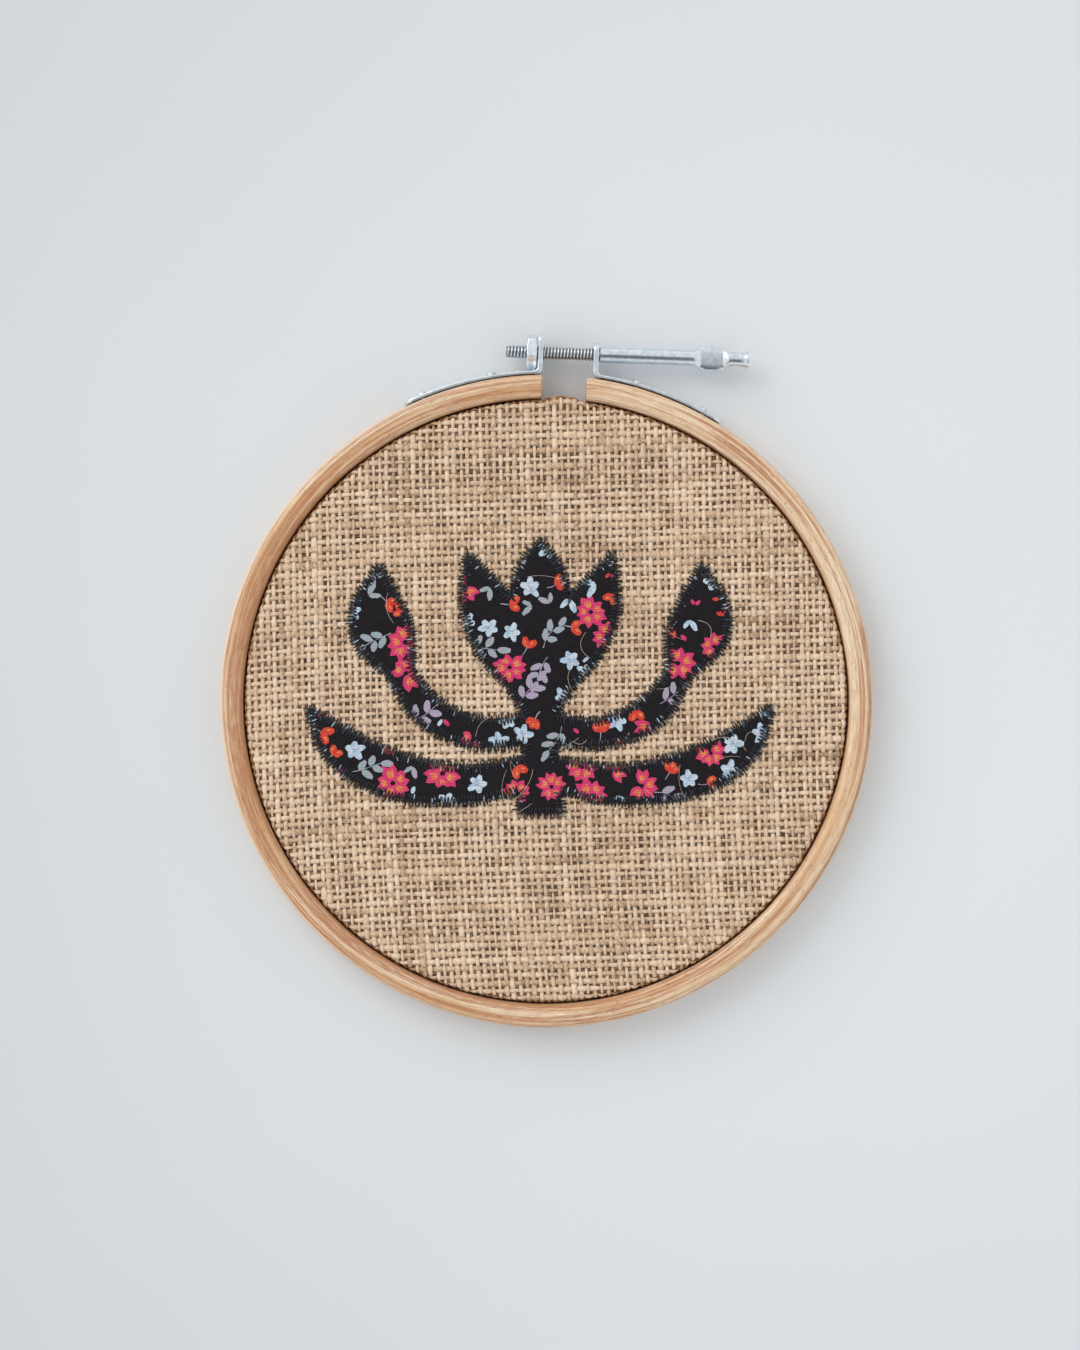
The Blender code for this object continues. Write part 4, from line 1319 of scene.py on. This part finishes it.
def stitch_back(name, holes, chance):
    """The bobbin thread, which locks the same zigzag behind the burlap."""
    share = np.linspace(0.0, 1.0, BACK_STEPS)
    strands = Strands(3)
    for first, second in zip(holes, holes[1:]):
        flat = first * (1 - share[:, None]) + second * share[:, None]
        height = CLOTH_MIDDLE - (CLOTH_THICKNESS / 2 + 0.04) * np.sin(np.pi * share) ** 0.4
        centre = np.column_stack([flat, height])
        out = np.broadcast_to([0.0, 0.0, 1.0], centre.shape)
        half = np.full(BACK_STEPS, THREAD_HALF * 0.9)
        strands.add(centre, out, half, half * 0.9, chance.random() ** 2.2, twist_length=1.1)
    return strands.make(name, navy_thread)


navy_thread = thread_finish()
stitch_chance = np.random.default_rng(41)
holes, reach = needle_holes(stitch_chance)
stitching = stitch_face("zigzag_stitching", holes, reach, stitch_chance)
bobbin = stitch_back("zigzag_bobbin_thread", holes, np.random.default_rng(45))

# %% [markdown]
# ## Frayed edge and stray hairs
# Two small things tell cloth from a printed picture. The cut cotton sheds short dark threads between
# the stitches, and a few long pale jute hairs lie across the dark flower, where they show most.

# %% Fray and stray hairs
FRAY_COUNT = 620
FRAY_STEPS = 4
FRAY_LENGTH = (0.9, 2.1)
FRAY_HALF = (0.03, 0.055)
STRAY_COUNT = 18
STRAY_STEPS = 9
STRAY_LENGTH = (3.0, 8.5)
STRAY_HALF = (0.028, 0.05)


def fray_edge(name, chance):
    strands = Strands(3)
    places = chance.uniform(0, outline_steps.sum(), FRAY_COUNT)
    points, outward = outline_frame(places)
    for point, out_way in zip(points, outward):
        tilt = chance.normal(0.0, 0.4)
        way = turned_by(out_way, tilt)
        length = chance.uniform(*FRAY_LENGTH)
        share = np.linspace(0.0, 1.0, FRAY_STEPS)
        curl = np.outer(share**2 * chance.normal(0.0, 0.25), [-way[1], way[0]])
        flat = point + np.outer(share * length, way) + curl
        height = CLOTH_TOP + 0.42 - 0.30 * share + chance.uniform(0, 0.25) * share * (1 - share) * 4
        centre = np.column_stack([flat, height])
        thin = np.full(FRAY_STEPS, chance.uniform(*FRAY_HALF))
        up = np.broadcast_to([0.0, 0.0, 1.0], centre.shape)
        strands.add(centre, up, thin, thin, chance.random() ** 2, twist_length=0.8)
    return strands.make(name, navy_thread)


def stray_hairs(name, chance):
    strands = Strands(4)
    low, high = outline.min(axis=0), outline.max(axis=0)
    made = 0
    while made < STRAY_COUNT:
        middle = chance.uniform(low, high)
        if not inside(middle[None, :], outline)[0]:
            continue
        made += 1
        length = chance.uniform(*STRAY_LENGTH)
        direction = chance.uniform(0, math.pi)
        flat, lift = curved_hair(middle, direction, length, chance.normal(0, 1.1), 0.12, STRAY_STEPS)
        height = CLOTH_TOP + COTTON_THICKNESS + COTTON_LIFT + COTTON_PUFF + 0.16 + lift
        centre = np.column_stack([flat, height])
        thin = np.full(STRAY_STEPS, chance.uniform(*STRAY_HALF))
        up = np.broadcast_to([0.0, 0.0, 1.0], centre.shape)
        strands.add(centre, up, thin, thin, chance.uniform(0.7, 1.0))
    return strands.make(name, jute_yarn)


fray = fray_edge("flower_fray", np.random.default_rng(43))
strays = stray_hairs("stray_jute_hairs", np.random.default_rng(47))
signed_area(outline) * MM * MM

# %% [markdown]
# ## Zinc plated steel
# The brackets, rivets, nut and screw are pressed from mild steel and zinc plated, which is paler and
# bluer than bare steel and neither mirror-like nor matt. A metal has no colour of its own beyond its
# reflections, so the finish works through roughness: cloudy from the bath, with fine drawing lines.

# %% Steel finish
ZINC_DULL = colour(214, 223, 230)
ZINC_BRIGHT = colour(238, 243, 246)
ZINC_PAINTED_SHADE = colour(150, 149, 146)


def zinc(name, lines, dullness):
    """Zinc plate with fine drawing lines squeezed along these directions, a count a millimetre."""
    material, shader = new_finish(name, Metallic=1.0)
    place = millimetres(material)
    cloudy = noise(material, place, 0.8, detail=4.0)
    drawn = noise(material, millimetres(material, lines), 1.0, detail=3.0, roughness=0.6)
    shade = ramp(material, cloudy, (0.35, ZINC_DULL), (0.65, ZINC_BRIGHT))
    # Painted shade: the screw thread's roots are painted a darker grey, where shade falls in the grooves.
    groove_shade = attribute(material, "groove_shade").outputs["Fac"]
    shade = blend(material, groove_shade, shade, ZINC_PAINTED_SHADE)
    connect(material, shade, shader, "Base Color")
    mixed = maths(material, "MULTIPLY_ADD", cloudy, 0.08, maths(material, "MULTIPLY", drawn, 0.06))
    mixed = maths(material, "MULTIPLY_ADD", groove_shade, 0.30, mixed)
    connect(material, maths(material, "ADD", mixed, dullness - 0.07), shader, "Roughness")
    bump(material, shader, drawn, 0.0012, strength=0.5)
    return material


zinc_pressed = zinc("zinc plated steel pressed", (2.0, 2.0, 9.0), 0.28)
zinc_turned = zinc("zinc plated steel turned", (0.25, 6.0, 6.0), 0.15)

# %% [markdown]
# ## Brackets
# Each bracket is one strip of sheet steel: an ear that stands out of the ring beside the gap, a tight
# bend, and a strap along the ring's outside. It is lofted along its own middle line from sections with
# lightly rounded edges, and both its ends are rounded off by narrowing the last sections on a circle.
# A hole for the screw is then cut through the ear.

# %% The bracket's line and section
STRAP_MIDDLE_RADIUS = RING_OUTSIDE + 0.7
STRAP_HALF_THICKNESS = 0.4
EAR_HALF_THICKNESS = 0.6
STRAP_HALF_SPAN = math.radians(28.8)
PLATE_EDGE = 0.16
BEND_REACH = 1.3
GAP_ANGLE = math.asin(SCREW_MIDDLE[0] / RING_OUTSIDE)


def ring_point(radius, angle):
    """A point this far out, the angle from +Y towards +X."""
    return HOOP_MIDDLE + radius * np.array([math.sin(angle), math.cos(angle)])


def plate_section(half_thickness, half_width, steps=3):
    """A thin rectangle with rounded corners, as (through, across) points."""
    points = []
    edge = min(PLATE_EDGE, half_thickness * 0.8, half_width * 0.8)
    for through, across, first in ((1, 1, 0), (-1, 1, 90), (-1, -1, 180), (1, -1, 270)):
        for step in range(steps):
            turn = math.radians(first + 90 * step / (steps - 1))
            x = through * (half_thickness - edge) + edge * math.cos(turn)
            points.append((x, across * (half_width - edge) + edge * math.sin(turn)))
    return np.array(points)


def bracket_line(ear_x, ear_top, sign):
    """The strip's middle line: down the ear, round the bend and along the ring."""
    corner_y = HOOP_MIDDLE[1] + math.sqrt(STRAP_MIDDLE_RADIUS**2 - (ear_x - HOOP_MIDDLE[0]) ** 2)
    corner = np.array([ear_x, corner_y])
    corner_angle = math.asin((ear_x - HOOP_MIDDLE[0]) / STRAP_MIDDLE_RADIUS)
    after = corner_angle + sign * BEND_REACH / STRAP_MIDDLE_RADIUS
    leave = ring_point(STRAP_MIDDLE_RADIUS, after)
    line = [(ear_x, y) for y in np.linspace(ear_top, corner_y + BEND_REACH, 22)]
    before = np.array(line[-1])
    for share in np.linspace(0, 1, 8)[1:-1]:
        line.append(tuple(before * (1 - share) ** 2 + corner * 2 * share * (1 - share) + leave * share**2))
    end = GAP_ANGLE + sign * STRAP_HALF_SPAN
    for angle in np.linspace(after, end, 60):
        line.append(tuple(ring_point(STRAP_MIDDLE_RADIUS, angle)))
    return np.array(line)


def closer_at_ends(line, step=0.3, reach=2.4):
    """The line again with points crowded near both ends, where the strip is rounded off."""
    at = np.concatenate([[0.0], np.cumsum(np.linalg.norm(np.diff(line, axis=0), axis=1))])
    bend = 1 - np.cos(np.linspace(0, np.pi / 2, 9))
    extra = np.concatenate([reach * bend, at[-1] - reach * bend])
    places = np.unique(np.round(np.concatenate([at, extra]), 5))
    return np.stack([np.interp(places, at, line[:, k]) for k in range(2)], axis=1), places


def rounded_end(distance, radius):
    """How much narrower a strip is this far from its rounded end."""
    short = np.clip(radius - distance, 0.0, radius)
    return radius - np.sqrt(np.maximum(radius**2 - short**2, 0.0))


# %% Build the brackets
EAR_LEFT_FACE = GAP_SIDES[0]
EAR_RIGHT_FROM_MIDDLE = 6.8
EAR_RIGHT_FACE = SCREW_MIDDLE[0] + EAR_RIGHT_FROM_MIDDLE
EAR_ROUNDING = 2.0
STRAP_ROUNDING = 2.4
HOLE_RADIUS = 1.8


def build_bracket(side, node, ear_face, sign):
    low, high = box_mm(node)
    ear_x = ear_face + sign * EAR_HALF_THICKNESS
    line, at = closer_at_ends(bracket_line(ear_x, high[1], sign))
    travel = unit(np.gradient(line, axis=0))
    through = np.stack([travel[:, 1], -travel[:, 0]], axis=1)
    half_width = (high[2] - low[2]) / 2
    middle_height = (high[2] + low[2]) / 2
    ear_length = high[1] - (HOOP_MIDDLE[1] + RING_OUTSIDE)
    thin = smooth_step((at - ear_length + 1.0) / 2.0)
    half_thickness = EAR_HALF_THICKNESS + (STRAP_HALF_THICKNESS - EAR_HALF_THICKNESS) * thin
    narrow = rounded_end(at, EAR_ROUNDING) + rounded_end(at[-1] - at, STRAP_ROUNDING)
    rows = []
    for point, way, half, less in zip(line, through, half_thickness, narrow):
        section = plate_section(half, half_width - less)
        flat = point + np.outer(section[:, 0], way)
        rows.append(np.column_stack([flat, middle_height + section[:, 1]]))
    rows = np.array(rows)
    if sign > 0:
        rows = rows[:, ::-1]
    piece = add_loft(f"bracket_{side}_steel", rows, zinc_pressed, "hoop", sharp_angle=40)
    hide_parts(node)
    return piece


def drill(piece, x):
    """Cuts a round hole for the screw through the piece, and keeps the result as its mesh."""
    bpy.ops.mesh.primitive_cylinder_add(
        vertices=48,
        radius=HOLE_RADIUS * MM,
        depth=6 * MM,
        location=Vector((x, *SCREW_MIDDLE[1:])) * MM,
        rotation=(0, math.pi / 2, 0),
    )
    drill_bit = bpy.context.object
    hole = piece.modifiers.new("Hole", "BOOLEAN")
    hole.operation = "DIFFERENCE"
    hole.solver = "EXACT"
    hole.object = drill_bit
    evaluated = piece.evaluated_get(bpy.context.evaluated_depsgraph_get())
    piece.data = bpy.data.meshes.new_from_object(evaluated)
    piece.modifiers.remove(hole)
    bpy.data.objects.remove(drill_bit, do_unlink=True)
    piece.data.shade_smooth()
    piece.data.set_sharp_from_angle(angle=math.radians(40))
    print(piece.name, "drilled")


bracket_left = build_bracket("left", "bracket_left", EAR_LEFT_FACE, -1)
bracket_right = build_bracket("right", "bracket_right", EAR_RIGHT_FACE, 1)
drill(bracket_left, EAR_LEFT_FACE - EAR_HALF_THICKNESS)
drill(bracket_right, EAR_RIGHT_FACE + EAR_HALF_THICKNESS)

# %% [markdown]
# ## Rivets
# Two small rivets pin each strap to the ring. Only their domed heads show, so each is a dome turned
# about the rivet's own axis with a short shank under it. The frame says where the heads are: the
# middle of each rivet's box gives its direction from the hoop's middle.

# %% Build the rivets
RIVET_PROFILE = (
    # radius and height over the strap: the hidden shank, then the dome
    (0.0, -3.6),
    (0.7, -3.6),
    (0.7, 0.0),
    (1.22, 0.0),
    (1.3, 0.06),
    (1.27, 0.2),
    (1.14, 0.36),
    (0.9, 0.53),
    (0.6, 0.64),
    (0.3, 0.69),
    (0.0, 0.70),
)
RIVET_SIDES = 28
RIVET_SEAT = RING_OUTSIDE + 1.4


def build_rivet(node):
    low, high = box_mm(node)
    middle = (low + high) / 2
    way = unit(np.append(middle[:2] - HOOP_MIDDLE, 0.0))
    seat = np.array([*HOOP_MIDDLE, middle[2]]) + way * RIVET_SEAT
    aside = np.cross(way, [0.0, 0.0, 1.0])
    turn = np.linspace(0, 2 * np.pi, RIVET_SIDES, endpoint=False)
    rows = []
    for radius, lift in RIVET_PROFILE:
        spoke = np.outer(np.cos(turn), aside) + np.outer(np.sin(turn), [0.0, 0.0, 1.0])
        rows.append(seat + way * lift + spoke * max(radius, 0.004))
    rows = np.array(rows)[:, ::-1]
    piece = add_loft(f"{node}_head", rows, zinc_pressed, "hoop", sharp_angle=50)
    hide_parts(node)


for node in sorted(n for n in frame["nodes"] if n.startswith("rivet")):
    build_rivet(node)

# %% [markdown]
# ## The nut
# A six-sided nut sits outside the left ear. Its outside is the smaller of two radii at every place: the
# hexagon's, which depends on the direction, and the chamfer's, which depends on how near an end is.
# Taking a soft minimum of the two rounds the meeting edges, as tumbling and plating do.

# %% Build the nut
NUT_ACROSS_FLATS = 7.94
NUT_SIDES = 144
NUT_BORE = 1.8
NUT_CHAMFER = 0.42
BORE_CHAMFER = 0.3
NUT_TURN = math.radians(-18.5)
nut_low, nut_high = box_mm("nut")


def nut_outside(turn, depth, half):
    """The nut's radius in this direction, this far from its middle along the bore."""
    sixth = math.pi / 3
    within = np.mod(turn - NUT_TURN, sixth) - sixth / 2
    hexagon = NUT_ACROSS_FLATS / 2 / np.cos(within)
    corner = NUT_ACROSS_FLATS / 2 / math.cos(sixth / 2)
    chamfer = corner + 0.02 - 1.9 * max(0.0, abs(depth) - (half - NUT_CHAMFER))
    soft = 14.0
    return -np.log(np.exp(-soft * hexagon) + np.exp(-soft * (chamfer + 0.02))) / soft


def build_nut():
    half = (nut_high[0] - nut_low[0]) / 2
    middle = (nut_low[0] + nut_high[0]) / 2
    turn = np.linspace(0, 2 * np.pi, NUT_SIDES, endpoint=False)
    rows = []
    for depth in np.concatenate([[-half], np.linspace(-half + 0.05, half - 0.05, 19), [half]]):
        radius = nut_outside(turn, depth, half)
        if abs(depth) == half:
            radius = radius - 0.06
        rows.append((depth, radius))
    for share in (0.25, 0.6, 1.0):
        rows.append((half, rows[-1][1] * (1 - share) + (NUT_BORE + BORE_CHAMFER) * share))
    rows.append((half - BORE_CHAMFER, np.full(NUT_SIDES, NUT_BORE)))
    rows.append((-half + BORE_CHAMFER, np.full(NUT_SIDES, NUT_BORE)))
    for share in (0.0, 0.5):
        rows.append((-half, rows[0][1] * share + (NUT_BORE + BORE_CHAMFER) * (1 - share)))
    points = []
    for depth, radius in rows:
        y = SCREW_MIDDLE[1] + radius * np.sin(turn)
        z = SCREW_MIDDLE[2] + radius * np.cos(turn)
        points.append(np.column_stack([np.full(NUT_SIDES, middle + depth), y, z]))
    return add_loft(
        "nut_steel", np.array(points)[:, ::-1], zinc_pressed, "hoop", closed_rows=True, sharp_angle=35
    )


nut = build_nut()
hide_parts("nut")

# %% [markdown]
# ## The screw
# One piece of steel: a rolled thread, a plain shank, a head pressed flat like a thumb tab, and a flared
# end. All of it is a loft of rings along the axis. On the thread a ring's radius depends on its angle
# too, by how far round the helix that place is, and on the head the circle turns into a flat rounded
# section and back.

# %% The screw's sizes
THREAD_PITCH = 0.794
THREAD_CREST = 1.7
THREAD_DEPTH = 0.45
RINGS_A_TURN = 12
SCREW_SIDES = 36
SCREW_TIP = -14.2
SHOULDER = 8.3
THREAD_END = SHOULDER - THREAD_PITCH
HEAD_STEP = 0.35
HEAD_ROWS = (
    # place along the axis, half width, half thickness, and 2 for round or more for square
    (8.3, 1.72, 1.72, 2.0),
    (8.42, 1.9, 1.9, 2.0),
    (20.0, 1.9, 1.9, 2.0),
    (30.9, 1.9, 1.9, 2.0),
    (31.3, 2.12, 1.8, 2.1),
    (31.9, 2.48, 1.44, 2.6),
    (32.45, 2.76, 1.12, 3.4),
    (32.6, 2.82, 1.1, 3.8),
    (33.6, 3.04, 1.1, 4.2),
    (35.0, 3.1, 1.1, 4.2),
    (36.6, 3.02, 1.1, 4.2),
    (37.7, 2.74, 1.1, 3.8),
    (37.85, 2.68, 1.12, 3.4),
    (38.4, 2.38, 1.44, 2.6),
    (38.95, 2.0, 1.74, 2.1),
    (39.4, 1.8, 1.8, 2.0),
    (41.6, 1.8, 1.8, 2.0),
    (42.8, 1.92, 1.92, 2.0),
    (43.8, 2.17, 2.17, 2.0),
    (43.96, 2.12, 2.12, 2.0),
    (44.0, 2.0, 2.0, 2.0),
    (44.0, 1.45, 1.45, 2.0),
    (43.7, 1.3, 1.3, 2.0),
    (43.6, 0.02, 0.02, 2.0),
)


# %% Build the screw
def thread_row(along, turn):
    """The thread's radius round a ring: flat crests, sloped flanks and rounded roots."""
    winding = np.mod(along / THREAD_PITCH + turn / (2 * np.pi), 1.0)
    ridge = np.clip(1.45 * np.abs(2 * winding - 1) - 0.18, 0.0, 1.0)
    from_ends = min(along - SCREW_TIP, THREAD_END - along)
    fade = np.clip(from_ends / THREAD_PITCH, 0.0, 1.0)
    return THREAD_CREST - THREAD_DEPTH + THREAD_DEPTH * ridge * fade


def squared(turn, half_width, half_thickness, squareness):
    power = 2 / squareness
    cosine, sine = np.cos(turn), np.sin(turn)
    width = half_width * np.sign(cosine) * np.abs(cosine) ** power
    return width, half_thickness * np.sign(sine) * np.abs(sine) ** power


def build_screw():
    turn = np.linspace(0, 2 * np.pi, SCREW_SIDES, endpoint=False)
    sections = [(SCREW_TIP, 0.02 * np.cos(turn), 0.02 * np.sin(turn))]
    count = round((THREAD_END - SCREW_TIP) / THREAD_PITCH * RINGS_A_TURN)
    for along in np.linspace(SCREW_TIP, THREAD_END, count + 1):
        radius = thread_row(along, turn)
        sections.append((along, radius * np.cos(turn), radius * np.sin(turn)))
    rows = np.array(HEAD_ROWS)
    for first, second in zip(rows, rows[1:]):
        steps = max(1, round(abs(second[0] - first[0]) / HEAD_STEP))
        for share in np.arange(steps) / steps:
            along, *shape = first * (1 - share) + second * share
            sections.append((along, *squared(turn, *shape)))
    along, *shape = rows[-1]
    sections.append((along, *squared(turn, *shape)))
    points = []
    for along, across, thick in sections:
        x = np.full(SCREW_SIDES, SCREW_MIDDLE[0] + along)
        points.append(np.column_stack([x, SCREW_MIDDLE[1] + across, SCREW_MIDDLE[2] + thick]))
    points = np.array(points)
    piece = add_loft("screw_steel", points, zinc_turned, "screw", sharp_angle=50)
    points = points.reshape(-1, 3)
    # How deep each point lies in the thread, which the finish turns into painted shade in the grooves.
    from_axis = np.hypot(points[:, 1] - SCREW_MIDDLE[1], points[:, 2] - SCREW_MIDDLE[2])
    threaded = (points[:, 0] < SCREW_MIDDLE[0] + SHOULDER) & (from_axis > 1.0)
    depth = np.where(threaded, smooth_step((THREAD_CREST - 0.06 - from_axis) / 0.3), 0.0)
    groove_shade = piece.data.attributes.new("groove_shade", "FLOAT", "POINT")
    groove_shade.data.foreach_set("value", depth.astype(np.float32))
    return piece


screw = build_screw()
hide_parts("screw")
